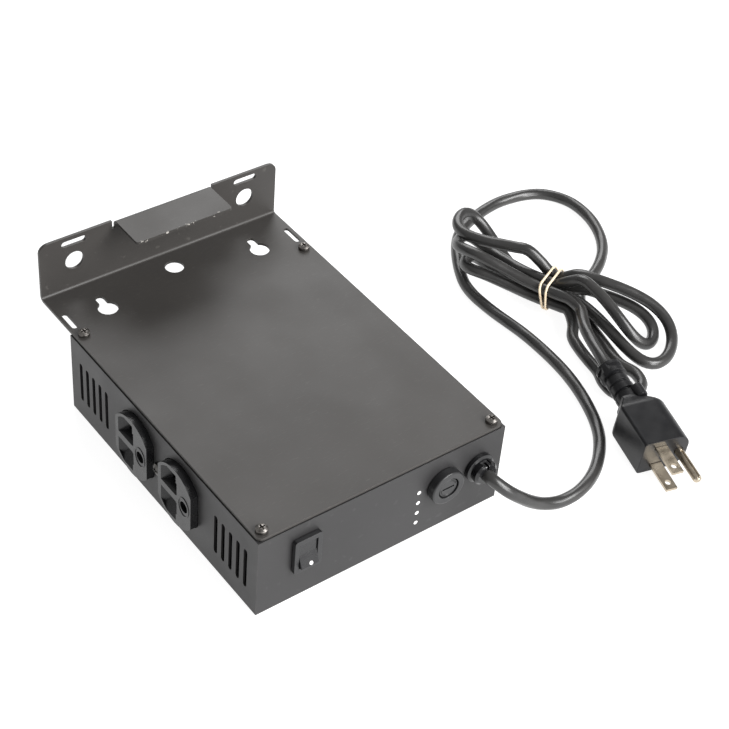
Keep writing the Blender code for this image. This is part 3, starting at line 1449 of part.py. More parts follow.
def plug_neck_profile():
    """Profile of the ribbed strain relief, from inside the shoulder to the cord's end."""
    start = PLUG_BLOCK + PLUG_SHOULDER
    pitch = (PLUG_LENGTH - start + PLUG_GROOVE_WIDTH) / PLUG_RINGS
    profile = [(0, -start + PLUG_OVERLAP), (PLUG_GROOVE_RADIUS, -start + PLUG_OVERLAP)]
    for index in range(PLUG_RINGS):
        radius = PLUG_RING_RADIUS - PLUG_RING_TAPER * (index % 2)
        here = start + pitch * index
        profile.append((profile[-1][0], -here))
        profile.append((radius, -here))
        profile.append((radius, -here - pitch + PLUG_GROOVE_WIDTH))
        if index < PLUG_RINGS - 1:
            profile.append((PLUG_GROOVE_RADIUS, -here - pitch + PLUG_GROOVE_WIDTH))
    profile.append((0, -PLUG_LENGTH))
    return profile


def plug():
    """Moulded plug lying on the table, with two blades and a ground pin."""
    frame = plug_frame()
    block = plug_block()
    fuse(block, turned(plug_neck_profile(), (0, 0, 0), "X", 20))
    places = [(-PRONG_SHIFT, side * PRONG_SPACING / 2) for side in (-1, 1)]
    sockets = []
    for index, (y, z) in enumerate(places):
        socket_size = (2 * (PRONG_ROOT + GAP), PRONG_WIDTH + 2 * GAP, PRONG_THICKNESS + 2 * GAP)
        sockets.append(cuboid(socket_size, (0, y, z)))
        blade_size = (PRONG_ROOT + PRONG_LENGTH, PRONG_WIDTH, PRONG_THICKNESS)
        blade = cuboid(blade_size, ((PRONG_LENGTH - PRONG_ROOT) / 2, y, z))
        hole_place = (PRONG_HOLE_FROM_FACE, y, z)
        hole = rod(PRONG_HOLE_RADIUS, 4 * PRONG_THICKNESS, hole_place, sides=12)
        blade = gather([cut(blade, hole)], "blade", frame)
        part(blade, f"plug_blade_{index + 1}", NICKEL)
    pin_hole = rod(GROUND_PIN_RADIUS + GAP, 2 * (PRONG_ROOT + GAP), (0, GROUND_PIN_SHIFT, 0), "X", 16)
    cut(block, gather(sockets + [pin_hole], "prong_sockets"))
    part(gather([block], "plug_body", frame), "plug_body", BLACK_VINYL)
    pin_profile = [(0, GROUND_PIN_LENGTH)]
    for step in range(1, 4):
        angle = step * math.pi / 6
        height = GROUND_PIN_LENGTH - GROUND_PIN_DOME * (1 - math.cos(angle))
        pin_profile.append((GROUND_PIN_RADIUS * math.sin(angle), height))
    pin_profile += [(GROUND_PIN_RADIUS, -PRONG_ROOT), (0, -PRONG_ROOT)]
    pin = turned(pin_profile, (0, GROUND_PIN_SHIFT, 0), "X", 16)
    part(gather([pin], "plug_ground_pin", frame), "plug_ground_pin", NICKEL)


# Control board


def control_board():
    """Main board on four moulded supports that snap through it."""
    middle = FRONT_Y + BOARD_FROM_FRONT + BOARD_LENGTH / 2
    centre = (0, middle, BOARD_BOTTOM + BOARD_THICKNESS / 2)
    board = cuboid((BOARD_WIDTH, BOARD_LENGTH, BOARD_THICKNESS), centre)
    hole_radius = SUPPORT_PEG_RADIUS + GAP
    depth = 4 * BOARD_THICKNESS
    holes = [rod(hole_radius, depth, (x, y, centre[2]), sides=12) for x, y in support_places()]
    cut(board, gather(holes, "board_holes"))
    part(board, "control_board", BOARD_GREEN)
    shoulder = BOARD_BOTTOM - SHEET - 2 * GAP
    head = shoulder + BOARD_THICKNESS + 2 * GAP
    profile = [
        (0, head + SUPPORT_HEAD_HEIGHT),
        (SUPPORT_TIP_RADIUS, head + SUPPORT_HEAD_HEIGHT),
        (SUPPORT_HEAD_RADIUS, head),
        (SUPPORT_PEG_RADIUS, head),
        (SUPPORT_PEG_RADIUS, shoulder),
        (SUPPORT_RADIUS, shoulder),
        (SUPPORT_RADIUS, 0),
        (0, 0),
    ]
    support = part(gather([turned(profile, (0, 0, 0), sides=12)], "support"), "support", WHITE_PLASTIC)
    places = support_places()
    names = [f"board_support_{index + 1}" for index in range(len(places))]
    copies(support, names, [Matrix.Translation((x, y, SHEET + GAP)) for x, y in places])


def power_stage():
    """Heatsink and the four triacs on it, one for each outlet."""
    base_y = FRONT_Y + HEATSINK_FROM_FRONT
    middle_z = ON_BOARD + HEATSINK_HEIGHT / 2
    sink = cuboid((HEATSINK_LENGTH, HEATSINK_BASE, HEATSINK_HEIGHT), (0, base_y, middle_z))
    fin_length = HEATSINK_BASE / 2 + HEATSINK_FIN_REACH
    fins = []
    for index in range(HEATSINK_FINS):
        x = (index / (HEATSINK_FINS - 1) - 0.5) * (HEATSINK_LENGTH - HEATSINK_FIN)
        fin_size = (HEATSINK_FIN, fin_length, HEATSINK_HEIGHT)
        fins.append(cuboid(fin_size, (x, base_y - fin_length / 2, middle_z)))
    fuse(sink, gather(fins, "fins"))
    part(sink, "heatsink", ALUMINIUM)
    body = cuboid((TRIAC_WIDTH, TRIAC_THICKNESS, TRIAC_HEIGHT), (0, 0, TRIAC_HEIGHT / 2))
    step_size = (2 * TRIAC_WIDTH, TRIAC_THICKNESS, 2 * TRIAC_TAB_HEIGHT)
    step = cuboid(step_size, (0, TRIAC_TAB_THICKNESS, TRIAC_HEIGHT))
    hole_z = TRIAC_HEIGHT - TRIAC_TAB_HEIGHT / 2
    hole = rod(TRIAC_TAB_HOLE, 4 * TRIAC_THICKNESS, (0, 0, hole_z), "Y", 12)
    triac = part(gather([cut(body, step, hole)], "triac"), "triac", BLACK_PLASTIC)
    y = base_y + HEATSINK_BASE / 2 + GAP + TRIAC_THICKNESS / 2
    names = [f"triac_{index + 1}" for index in range(TRIACS)]
    first_x = -(TRIACS - 1) / 2 * TRIAC_PITCH
    places = [(first_x + index * TRIAC_PITCH, y, ON_BOARD) for index in range(TRIACS)]
    copies(triac, names, [Matrix.Translation(place_at) for place_at in places])


def supply_and_logic():
    """Transformer, capacitor, microcontroller and the wires' terminal block."""
    y = FRONT_Y + CORE_FROM_FRONT
    middle_z = ON_BOARD + CORE_HEIGHT / 2
    core = cuboid((CORE_WIDTH, CORE_LENGTH, CORE_HEIGHT), (0, y, middle_z))
    window = (WINDING_LENGTH + 2 * GAP - 2 * CORE_LIMB) / 2
    window_height = CORE_HEIGHT - 2 * CORE_LIMB
    limb = CORE_CENTRE_LIMB
    windows = []
    for side in (-1, 1):
        x = side * (limb + window) / 2
        windows.append(cuboid((window, 2 * CORE_LENGTH, window_height), (x, y, middle_z)))
    cut(core, gather(windows, "windows"))
    part(core, "transformer_core", IRON)
    coil = window - 2 * GAP
    inside = (limb + 2 * GAP, CORE_LENGTH + 2 * GAP)
    outline = rounded_rectangle(inside[0] + 2 * coil, inside[1] + 2 * coil, WINDING_CORNER)
    hollow = rounded_rectangle(*inside, GAP, 1)
    winding = prism([outline, hollow], window_height - 2 * GAP, (0, y, middle_z))
    part(winding, "transformer_winding", COPPER)
    can_x = CAPACITOR_FROM_EDGE - BOARD_WIDTH / 2
    can_place = (can_x, FRONT_Y + CAPACITOR_FROM_FRONT, ON_BOARD + CAPACITOR_HEIGHT / 2)
    can = rod(CAPACITOR_RADIUS, CAPACITOR_HEIGHT, can_place, sides=20)
    part(can, "capacitor", SLEEVE_BLUE)
    processor_z = ON_BOARD + PROCESSOR_SIZE[2] / 2
    processor = cuboid(PROCESSOR_SIZE, (0, FRONT_Y + PROCESSOR_FROM_FRONT, processor_z))
    part(processor, "microcontroller", BLACK_PLASTIC)
    part(terminal_block(), "terminal_block", BLOCK_GREEN)


def terminal_block():
    """Terminal block with one wire mouth a way."""
    length, width, height = TERMINAL_BLOCK_SIZE
    y = FRONT_Y + TERMINAL_BLOCK_FROM_FRONT
    z = ON_BOARD + height / 2
    block = cuboid(TERMINAL_BLOCK_SIZE, (0, y, z))
    pitch = length / TERMINAL_BLOCK_WAYS
    mouth_size = (WIRE_MOUTH_WIDTH, 2 * WIRE_MOUTH_DEPTH, WIRE_MOUTH_HEIGHT)
    mouths = []
    for index in range(TERMINAL_BLOCK_WAYS):
        x = (index - (TERMINAL_BLOCK_WAYS - 1) / 2) * pitch
        mouths.append(cuboid(mouth_size, (x, y - width / 2, z - WIRE_MOUTH_DROP)))
    return cut(block, gather(mouths, "wire_mouths"))


# Far-wall controls


def speed_control():
    """Potentiometer held by its nut, its shaft and the fluted knob on it."""
    x = KNOB_FROM_LEFT - HALF_WIDTH
    inner = BACK_Y - SHEET - GAP
    can = rod(POT_RADIUS, POT_DEPTH, (x, inner - POT_DEPTH / 2, CONTROL_HEIGHT), "Y")
    neck = BUSHING_LENGTH + POT_DEPTH / 2
    neck_y = inner + BUSHING_LENGTH - neck / 2
    fuse(can, rod(BUSHING_RADIUS, neck, (x, neck_y, CONTROL_HEIGHT), "Y", 16))
    bore_place = (x, inner + BUSHING_LENGTH, CONTROL_HEIGHT)
    cut(can, rod(SHAFT_RADIUS + GAP, 2 * neck, bore_place, "Y", 16))
    part(gather([can], "potentiometer"), "potentiometer", ALUMINIUM)
    nut_y = BACK_Y + GAP + POT_NUT_THICKNESS / 2
    nut = rod(POT_NUT_RADIUS, POT_NUT_THICKNESS, (x, nut_y, CONTROL_HEIGHT), "Y", 6)
    cut(nut, rod(BUSHING_RADIUS + GAP, 4 * POT_NUT_THICKNESS, (x, nut_y, CONTROL_HEIGHT), "Y", 16))
    part(nut, "potentiometer_nut", STEEL)
    shaft_start = inner + BUSHING_LENGTH - neck + GAP
    shaft_end = BACK_Y + SHAFT_LENGTH
    shaft = rod(SHAFT_RADIUS, shaft_end - shaft_start, (0, 0, 0), "Y", 16)
    shaft.location = (x, (shaft_start + shaft_end) / 2, CONTROL_HEIGHT)
    part(shaft, "speed_shaft", STEEL)
    outline = []
    for index in range(2 * KNOB_FLUTES):
        radius = KNOB_RADIUS - FLUTE_DEPTH * (index % 2)
        angle = math.pi * index / KNOB_FLUTES
        outline.append((radius * math.cos(angle), radius * math.sin(angle)))
    body = prism([outline], KNOB_LENGTH, (0, 0, 0), "Y")
    bore_depth = SHAFT_LENGTH - KNOB_STANDOFF + GAP
    bore = rod(SHAFT_RADIUS + GAP, 2 * bore_depth, (0, -KNOB_LENGTH / 2, 0), "Y", 16)
    pointer_size = (POINTER_WIDTH, 2 * POINTER_DEPTH, KNOB_RADIUS)
    pointer = cuboid(pointer_size, (0, KNOB_LENGTH / 2, KNOB_RADIUS / 2))
    body = gather([cut(body, bore, pointer)], "knob")
    body.location = (x, BACK_Y + KNOB_STANDOFF + KNOB_LENGTH / 2, CONTROL_HEIGHT)
    part(body, "speed_knob", BLACK_PLASTIC)


def pattern_switch():
    """Push switch snapped into the far wall, and its button."""
    x = BUTTON_FROM_LEFT - HALF_WIDTH
    centre = (x, BACK_Y, CONTROL_HEIGHT)
    bore = BUTTON_RADIUS + GAP
    floor = SWITCH_DEPTH - SWITCH_RIM_DEPTH
    profile = [
        (0, SWITCH_DEPTH),
        (SWITCH_RADIUS, SWITCH_DEPTH),
        (SWITCH_RADIUS, -GAP),
        (SWITCH_RIM, -GAP),
        (SWITCH_RIM, -SWITCH_RIM_DEPTH),
        (bore, -SWITCH_RIM_DEPTH),
        (bore, floor),
        (0, floor),
    ]
    switch = turned(profile, (0, 0, 0), "Y")
    switch.location = centre
    part(gather([switch], "pattern_switch_body"), "pattern_switch_body", BLACK_PLASTIC)
    inner = floor - GAP - BUTTON_TRAVEL
    length = BUTTON_PROUD + inner
    button_place = (x, BACK_Y + BUTTON_PROUD - length / 2, CONTROL_HEIGHT)
    button = rod(BUTTON_RADIUS, length, button_place, "Y", 20)
    part(button, "pattern_button", BLACK_PLASTIC)


def main():
    """Build every sub-part."""
    base_tray()
    mounting_plate()
    lid_screws()
    receptacles()
    rocker_switch()
    fuse_holder()
    cord_gland()
    cords()
    plug()
    control_board()
    power_stage()
    supply_and_logic()
    speed_control()
    pattern_switch()


main()
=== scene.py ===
"""Looks of a small lighting chase controller on a pale floor.

A folded steel box under a wider mounting plate, with its outlets, switch, fuse holder and
cord gland, and a free cord that is tied into a hank and ends in a moulded plug.  Metres,
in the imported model's own frame.
"""

import logging
import math
from dataclasses import dataclass
from enum import Enum

import bmesh
import bpy
from mathutils import Euler, Matrix, Vector
from mathutils.bvhtree import BVHTree


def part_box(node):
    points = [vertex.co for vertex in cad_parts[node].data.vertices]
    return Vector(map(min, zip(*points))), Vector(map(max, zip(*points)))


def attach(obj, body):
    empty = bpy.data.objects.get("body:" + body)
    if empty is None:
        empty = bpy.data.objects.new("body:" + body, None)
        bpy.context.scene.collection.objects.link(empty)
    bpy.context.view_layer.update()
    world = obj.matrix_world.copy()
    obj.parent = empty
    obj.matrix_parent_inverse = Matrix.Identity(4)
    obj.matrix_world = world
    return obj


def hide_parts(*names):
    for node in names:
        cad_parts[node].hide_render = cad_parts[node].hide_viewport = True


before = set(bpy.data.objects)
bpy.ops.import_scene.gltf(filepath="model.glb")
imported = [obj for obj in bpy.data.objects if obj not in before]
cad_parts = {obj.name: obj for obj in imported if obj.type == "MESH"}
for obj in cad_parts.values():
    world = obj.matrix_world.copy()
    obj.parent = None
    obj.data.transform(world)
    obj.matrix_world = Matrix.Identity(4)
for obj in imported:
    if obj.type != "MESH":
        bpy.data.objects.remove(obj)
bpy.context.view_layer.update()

LOG = logging.getLogger("controller")

Colour = tuple[float, float, float]
Point = tuple[float, float, float]
Span = tuple[float, float]
Piece = bpy.types.Object
Socket = bpy.types.NodeSocket


class Slot(Enum):
    """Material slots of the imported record."""

    BLACK_PAINT = "black_paint"
    GREY_PAINT = "grey_paint"
    BLACK_PLASTIC = "black_plastic"
    BLACK_VINYL = "black_vinyl"
    PLATED_STEEL = "plated_steel"
    NICKEL = "nickel_plate"
    BRASS = "brass"
    ALUMINIUM = "aluminium"
    GLASS = "fuse_glass"
    CREAM_RUBBER = "cream_rubber"
    BOARD_GREEN = "board_green"
    TERMINAL_GREEN = "terminal_green"
    COPPER = "winding_copper"
    IRON = "core_iron"
    WHITE_PLASTIC = "white_plastic"
    SLEEVE = "capacitor_sleeve"


class Axis(Enum):
    """Way that a turned piece's own height points."""

    RIGHT = "RIGHT"
    LEFT = "LEFT"
    FRONT = "FRONT"

    def turn(self) -> Matrix:
        """Rotation from a piece made upright to this way."""
        quarter = math.pi / 2
        if self is Axis.FRONT:
            return Matrix.Rotation(quarter, 4, "X")
        return Matrix.Rotation(quarter if self is Axis.RIGHT else -quarter, 4, "Y")

    @classmethod
    def outward(cls, sign: int) -> "Axis":
        """Way that the left wall (-1) or the right wall (1) faces."""
        return cls.RIGHT if sign > 0 else cls.LEFT


# Finishes


class Surface:
    """Node graph of one material, laid out on the piece's Object coordinates."""

    def __init__(self, name: str) -> None:
        """Start a material with its shader.

        Args:
            name: Name of the material.
        """
        self.material = bpy.data.materials.new(name)
        self.material.use_nodes = True
        self.tree = self.material.node_tree
        self.shader = self.tree.nodes["Principled BSDF"]
        self.place = self.tree.nodes.new("ShaderNodeTexCoord")

    def put(self, socket: Socket, value: object) -> None:
        """Set an input to a value, or link it to an output.

        Args:
            socket: Input to feed.
            value: Number, colour or output socket.
        """
        if isinstance(value, Socket):
            self.tree.links.new(value, socket)
        elif isinstance(value, tuple) and socket.type == "RGBA":
            socket.default_value = (*value, 1.0)
        else:
            socket.default_value = value

    def node(self, kind: str, **inputs: object) -> bpy.types.Node:
        """Add a node and set or link its inputs.

        Args:
            kind: Blender's node type.
            inputs: Values or output sockets by input name, spaces as underscores.

        Returns:
            The new node.
        """
        made = self.tree.nodes.new(kind)
        for key, value in inputs.items():
            self.put(made.inputs[key.replace("_", " ")], value)
        return made

    def stretched(self, stretch: Point) -> Socket:
        """Object coordinates drawn out along the axes.

        Args:
            stretch: Scale along X, Y and Z.

        Returns:
            The coordinates' socket.
        """
        if stretch == (1.0, 1.0, 1.0):
            return self.place.outputs["Object"]
        mapping = self.node("ShaderNodeMapping", Vector=self.place.outputs["Object"], Scale=stretch)
        return mapping.outputs["Vector"]

    def noise(self, size: float, detail: float = 3.0, stretch: Point = (1.0, 1.0, 1.0)) -> Socket:
        """Noise with spots of a real size.

        Args:
            size: Width of a spot in metres.
            detail: Octaves of finer noise in it.
            stretch: Scale of the coordinates along X, Y and Z.

        Returns:
            The noise value's socket.
        """
        place = self.stretched(stretch)
        noise = self.node("ShaderNodeTexNoise", Vector=place, Scale=1 / size, Detail=detail)
        return noise.outputs["Fac"]

    def ranged(self, value: Socket, start: Point, end: Point) -> Socket:
        """Map a value from one range to another, kept inside it.

        Args:
            value: Socket to read.
            start: Lowest input and its output.
            end: Highest input and its output.

        Returns:
            The mapped value's socket.
        """
        mapped = self.node(
            "ShaderNodeMapRange",
            Value=value,
            From_Min=start[0],
            From_Max=end[0],
            To_Min=start[1],
            To_Max=end[1],
        )
        return mapped.outputs["Result"]

    def mixed(self, share: Socket, first: object, second: object) -> Socket:
        """Mix two colours by a share.

        Args:
            share: Socket with 0 for the first and 1 for the second.
            first: Colour or socket.
            second: Colour or socket.

        Returns:
            The mixed colour's socket.
        """
        mix = self.tree.nodes.new("ShaderNodeMix")
        mix.data_type = "RGBA"
        self.tree.links.new(share, mix.inputs["Factor"])
        self.put(mix.inputs[6], first)
        self.put(mix.inputs[7], second)
        return mix.outputs[2]

    def maths(self, operation: str, first: object, second: object = 0.0) -> Socket:
        """One sum on two values.

        Args:
            operation: Blender's name of the sum.
            first: Value or socket.
            second: Value or socket.

        Returns:
            The result's socket.
        """
        made = self.tree.nodes.new("ShaderNodeMath")
        made.operation = operation
        self.put(made.inputs[0], first)
        self.put(made.inputs[1], second)
        return made.outputs["Value"]

    def relief(self, height: Socket, depth: float) -> None:
        """Bump the shader's normal, on top of a bump that is already there.

        Args:
            height: Height socket from 0 to 1.
            depth: Real depth of the relief in metres.
        """
        bump = self.node("ShaderNodeBump", Height=height, Distance=depth)
        socket = self.shader.inputs["Normal"]
        if socket.is_linked:
            self.tree.links.new(socket.links[0].from_socket, bump.inputs["Normal"])
        self.tree.links.new(bump.outputs["Normal"], socket)

    def feed(self, name: str, value: object) -> None:
        """Set or link one input of the shader.

        Args:
            name: Input's name.
            value: Number, colour or socket.
        """
        self.put(self.shader.inputs[name], value)


PATCH_DETAIL = 5.0
PATCH_RANGE = (0.35, 0.65)
GLOSS_DETAIL = 6.0
GLOSS_RANGE = (0.3, 0.7)
SCRATCH_FINENESS = 12
DOT_SIDES = 24


@dataclass(frozen=True)
class Finish:
    """A surface with drifting colour, uneven gloss, a fine grain and thin scratches."""

    name: str
    slot: Slot
    colour: Colour
    drift: Colour
    rough: Span
    metallic: float = 0.0
    specular: float = 0.5
    patch: float = 0.03
    grain: float = 0.0006
    relief: float = 0.00002
    scratch_colour: Colour | None = None
    scratch_stretch: Point = (1.0, 18.0, 1.0)
    scratch_start: float = 0.66
    scratch_fade: float = 0.06
    scratch_cover: float = 0.6

    def coloured(self, surface: Surface) -> Socket:
        """Colour that drifts from patch to patch, with the scratches in it.

        Args:
            surface: Graph to add to.

        Returns:
            The colour's socket.
        """
        low, high = PATCH_RANGE
        patches = surface.ranged(surface.noise(self.patch, PATCH_DETAIL), (low, 0.0), (high, 1.0))
        colour = surface.mixed(patches, self.colour, self.drift)
        if self.scratch_colour is None:
            return colour
        streaks = surface.noise(self.patch / SCRATCH_FINENESS, 2.0, self.scratch_stretch)
        full = (self.scratch_start + self.scratch_fade, self.scratch_cover)
        marks = surface.ranged(streaks, (self.scratch_start, 0.0), full)
        return surface.mixed(marks, colour, self.scratch_colour)

    def detailed(self, surface: Surface) -> None:
        """Relief of the surface.

        Args:
            surface: Graph to add to.
        """
        surface.relief(surface.noise(self.grain, 2.0), self.relief)

    def material(self) -> bpy.types.Material:
        """Material of this finish, made once.

        Returns:
            The material.
        """
        if self.name in bpy.data.materials:
            return bpy.data.materials[self.name]
        surface = Surface(self.name)
        surface.feed("Base Color", self.coloured(surface))
        gloss = surface.noise(self.patch / 2, GLOSS_DETAIL)
        low, high = zip(GLOSS_RANGE, self.rough)
        surface.feed("Roughness", surface.ranged(gloss, low, high))
        surface.feed("Metallic", self.metallic)
        surface.feed("Specular IOR Level", self.specular)
        self.detailed(surface)
        return surface.material


@dataclass(frozen=True)
class ChippedPaint(Finish):
    """Satin paint that has flaked to bare metal along one edge."""

    edge_y: float = 0.0
    edge_z: float = 0.0
    chip_reach: float = 0.0011
    chip_core: float = 0.4
    flake_size: float = 0.0022
    flake_share: Span = (0.60, 0.62)
    metal: Colour = (0.42, 0.40, 0.37)

    def coloured(self, surface: Surface) -> Socket:
        """Paint colour with bare metal where flakes have gone from the edge.

        Args:
            surface: Graph to add to.

        Returns:
            The colour's socket.
        """
        paint = super().coloured(surface)
        axes = surface.node("ShaderNodeSeparateXYZ", Vector=surface.place.outputs["Object"])
        off_y = surface.maths("ABSOLUTE", surface.maths("SUBTRACT", axes.outputs["Y"], self.edge_y))
        off_z = surface.maths("ABSOLUTE", surface.maths("SUBTRACT", axes.outputs["Z"], self.edge_z))
        away = surface.maths("MAXIMUM", off_y, off_z)
        near = surface.ranged(away, (self.chip_reach * self.chip_core, 1.0), (self.chip_reach, 0.0))
        low, high = self.flake_share
        flakes = surface.ranged(surface.noise(self.flake_size, PATCH_DETAIL), (low, 0.0), (high, 1.0))
        return surface.mixed(surface.maths("MULTIPLY", near, flakes), paint, self.metal)


@dataclass(frozen=True)
class CordJacket(Finish):
    """Vinyl jacket with the soft waves of the twisted cores under it."""

    cores: int = 3
    turns: float = 24.0
    wave: float = 0.00012

    def detailed(self, surface: Surface) -> None:
        """Grain, and waves that run round the cord as the cores do.

        Args:
            surface: Graph to add to.
        """
        super().detailed(surface)
        axes = surface.node("ShaderNodeSeparateXYZ", Vector=surface.place.outputs["UV"])
        along = surface.maths("MULTIPLY", axes.outputs["X"], self.turns)
        phase = surface.maths("ADD", along, axes.outputs["Y"])
        angle = surface.maths("MULTIPLY", phase, 2 * math.pi * self.cores)
        height = surface.ranged(surface.maths("SINE", angle), (-1.0, 0.0), (1.0, 1.0))
        surface.relief(height, self.wave)


@dataclass(frozen=True)
class ClearGlass(Finish):
    """Thin clear glass of the fuse's tube."""

    clearness: float = 0.95

    def material(self) -> bpy.types.Material:
        """Material of this finish, made once.

        Returns:
            The material.
        """
        made = super().material()
        shader = made.node_tree.nodes["Principled BSDF"]
        shader.inputs["Transmission Weight"].default_value = self.clearness
        return made


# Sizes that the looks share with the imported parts

PLATE_LOW, PLATE_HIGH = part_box("mounting_plate")
TRAY_LOW, TRAY_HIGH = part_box("base_tray")
HALF_WIDTH = TRAY_HIGH.x
FRONT_Y = TRAY_LOW.y
TAB_DEPTH = 0.023
PANEL_HEIGHT = 0.0285
CORD_RADIUS = 0.00325
GLAND_FROM_LEFT = 0.1268
GLAND_HEIGHT = 0.0286
GLAND_PROUD = 0.0075

BOX_PAINT = Finish(
    "box_paint", Slot.BLACK_PAINT, (0.0185, 0.018, 0.0185), (0.0245, 0.0238, 0.0245),
    rough=(0.42, 0.52), specular=0.42, patch=0.05, grain=0.0004, relief=0.000012,
    scratch_colour=(0.036, 0.035, 0.036),
)
PLATE_PAINT = ChippedPaint(
    "plate_paint", Slot.GREY_PAINT, (0.034, 0.0315, 0.0295), (0.041, 0.038, 0.0355),
    rough=(0.44, 0.52), specular=0.42, patch=0.06, grain=0.0004, relief=0.00001,
    scratch_colour=(0.08, 0.076, 0.07), edge_y=PLATE_HIGH.y - TAB_DEPTH,
    edge_z=PLATE_HIGH.z - 0.0008,
)
# Lighter, part-metallic colour laid on the rounded edges of the tray and plate: a painted highlight along
# the sheet edges, not wear.
PAINTED_EDGE_HIGHLIGHT = Finish(
    "painted_edge_highlight", Slot.BLACK_PAINT, (0.09, 0.088, 0.086), (0.16, 0.155, 0.15), rough=(0.35, 0.5),
    metallic=0.3, patch=0.008,
)
SOCKET_PLASTIC = Finish(
    "socket_plastic", Slot.BLACK_PLASTIC, (0.010, 0.010, 0.011), (0.015, 0.015, 0.016),
    rough=(0.20, 0.32), specular=0.42, patch=0.012, grain=0.0003, relief=0.000006,
)
GLAND_PLASTIC = Finish(
    "gland_plastic", Slot.BLACK_PLASTIC, (0.005, 0.005, 0.006), (0.009, 0.009, 0.010),
    rough=(0.12, 0.24), patch=0.006, grain=0.0004, relief=0.00002,
)
SWITCH_PLASTIC = Finish(
    "switch_plastic", Slot.BLACK_PLASTIC, (0.010, 0.010, 0.011), (0.016, 0.016, 0.017),
    rough=(0.30, 0.44), patch=0.01, grain=0.00025, relief=0.00001,
)
CHIP_PLASTIC = Finish(
    "chip_plastic", Slot.BLACK_PLASTIC, (0.02, 0.02, 0.021), (0.032, 0.032, 0.033),
    rough=(0.5, 0.65), patch=0.004, grain=0.0002, relief=0.00002,
)
JACKET = CordJacket(
    "cord_jacket", Slot.BLACK_VINYL, (0.019, 0.0188, 0.0185), (0.031, 0.030, 0.029),
    rough=(0.26, 0.36), specular=0.6, patch=0.02, grain=0.0005, relief=0.00002,
)
PLUG_VINYL = Finish(
    "plug_vinyl", Slot.BLACK_VINYL, (0.006, 0.006, 0.007), (0.011, 0.011, 0.012),
    rough=(0.28, 0.40), specular=0.3, patch=0.012, grain=0.0003, relief=0.00001,
)
SCREW_STEEL = Finish(
    "screw_steel", Slot.PLATED_STEEL, (0.13, 0.122, 0.115), (0.25, 0.235, 0.22),
    rough=(0.30, 0.46), metallic=1.0, patch=0.003, grain=0.0002,
)
DARK_STEEL = Finish(
    "dark_steel", Slot.PLATED_STEEL, (0.05, 0.048, 0.046), (0.10, 0.096, 0.09), rough=(0.22, 0.36),
    metallic=1.0, patch=0.003, grain=0.0002,
)
BLADE_NICKEL = Finish(
    "blade_nickel", Slot.NICKEL, (0.40, 0.34, 0.26), (0.54, 0.47, 0.37), rough=(0.24, 0.4),
    metallic=1.0, patch=0.006, grain=0.0003, relief=0.000006, scratch_colour=(0.8, 0.74, 0.64),
    scratch_stretch=(1.0, 10.0, 4.0),
)
CONTACT_BRASS = Finish(
    "contact_brass", Slot.BRASS, (0.62, 0.42, 0.15), (0.75, 0.54, 0.24), rough=(0.25, 0.4),
    metallic=1.0, patch=0.005,
)
COOLER_ALUMINIUM = Finish(
    "cooler_aluminium", Slot.ALUMINIUM, (0.62, 0.62, 0.64), (0.75, 0.75, 0.77), rough=(0.3, 0.45),
    metallic=1.0, patch=0.008, scratch_colour=(0.85, 0.85, 0.87),
)
FUSE_GLASS = ClearGlass(
    "fuse_clear_glass", Slot.GLASS, (0.92, 0.95, 0.95), (0.96, 0.98, 0.98), rough=(0.02, 0.06),
    patch=0.01, relief=0.000002,
)
BAND_RUBBER = Finish(
    "band_rubber", Slot.CREAM_RUBBER, (0.78, 0.62, 0.43), (0.88, 0.75, 0.56), rough=(0.55, 0.7),
    patch=0.004, grain=0.0003, relief=0.00003,
)
BOARD_MASK = Finish(
    "board_mask", Slot.BOARD_GREEN, (0.02, 0.13, 0.05), (0.04, 0.2, 0.08), rough=(0.3, 0.45),
    patch=0.006, scratch_colour=(0.08, 0.3, 0.12), scratch_stretch=(1.0, 8.0, 1.0),
    scratch_start=0.56,
)
TERMINAL_PLASTIC = Finish(
    "terminal_plastic", Slot.TERMINAL_GREEN, (0.03, 0.27, 0.09), (0.06, 0.36, 0.14),
    rough=(0.35, 0.5), patch=0.006,
)
WINDING_WIRE = Finish(
    "winding_wire", Slot.COPPER, (0.5, 0.2, 0.08), (0.7, 0.32, 0.14), rough=(0.25, 0.4),
    metallic=1.0, patch=0.004, grain=0.0004, relief=0.0001,
)
CORE_STEEL = Finish(
    "core_steel", Slot.IRON, (0.12, 0.12, 0.13), (0.22, 0.21, 0.21), rough=(0.45, 0.6),
    metallic=0.8, patch=0.005, scratch_colour=(0.3, 0.29, 0.28), scratch_stretch=(1.0, 1.0, 20.0),
)
SUPPORT_NYLON = Finish(
    "support_nylon", Slot.WHITE_PLASTIC, (0.72, 0.71, 0.67), (0.8, 0.79, 0.76), rough=(0.35, 0.5),
    patch=0.004,
)
SLEEVE_FILM = Finish(
    "sleeve_film", Slot.SLEEVE, (0.02, 0.04, 0.14), (0.04, 0.07, 0.22), rough=(0.2, 0.35),
    patch=0.004,
)
PRINT_WHITE = Finish(
    "print_white", Slot.WHITE_PLASTIC, (0.72, 0.71, 0.7), (0.85, 0.84, 0.83), rough=(0.5, 0.7),
    patch=0.0015, grain=0.0002, relief=0.00001,
)

DEFAULT_FINISHES = (
    BOX_PAINT, PLATE_PAINT, CHIP_PLASTIC, PLUG_VINYL, SCREW_STEEL, BLADE_NICKEL, CONTACT_BRASS,
    COOLER_ALUMINIUM, FUSE_GLASS, BAND_RUBBER, BOARD_MASK, TERMINAL_PLASTIC, WINDING_WIRE,
    CORE_STEEL, SUPPORT_NYLON, SLEEVE_FILM,
)


# Modelling

SHARP_BEVEL = math.radians(35)
SHARP_SHADE = math.radians(38)
FLAT_WEIGHT = 90
MERGE_DISTANCE = 0.000002
SAME_PLANE = math.radians(0.6)


def alone(piece: Piece) -> None:
    """Make one object the only selected one and the active one."""
    bpy.ops.object.select_all(action="DESELECT")
    piece.select_set(True)
    bpy.context.view_layer.objects.active = piece


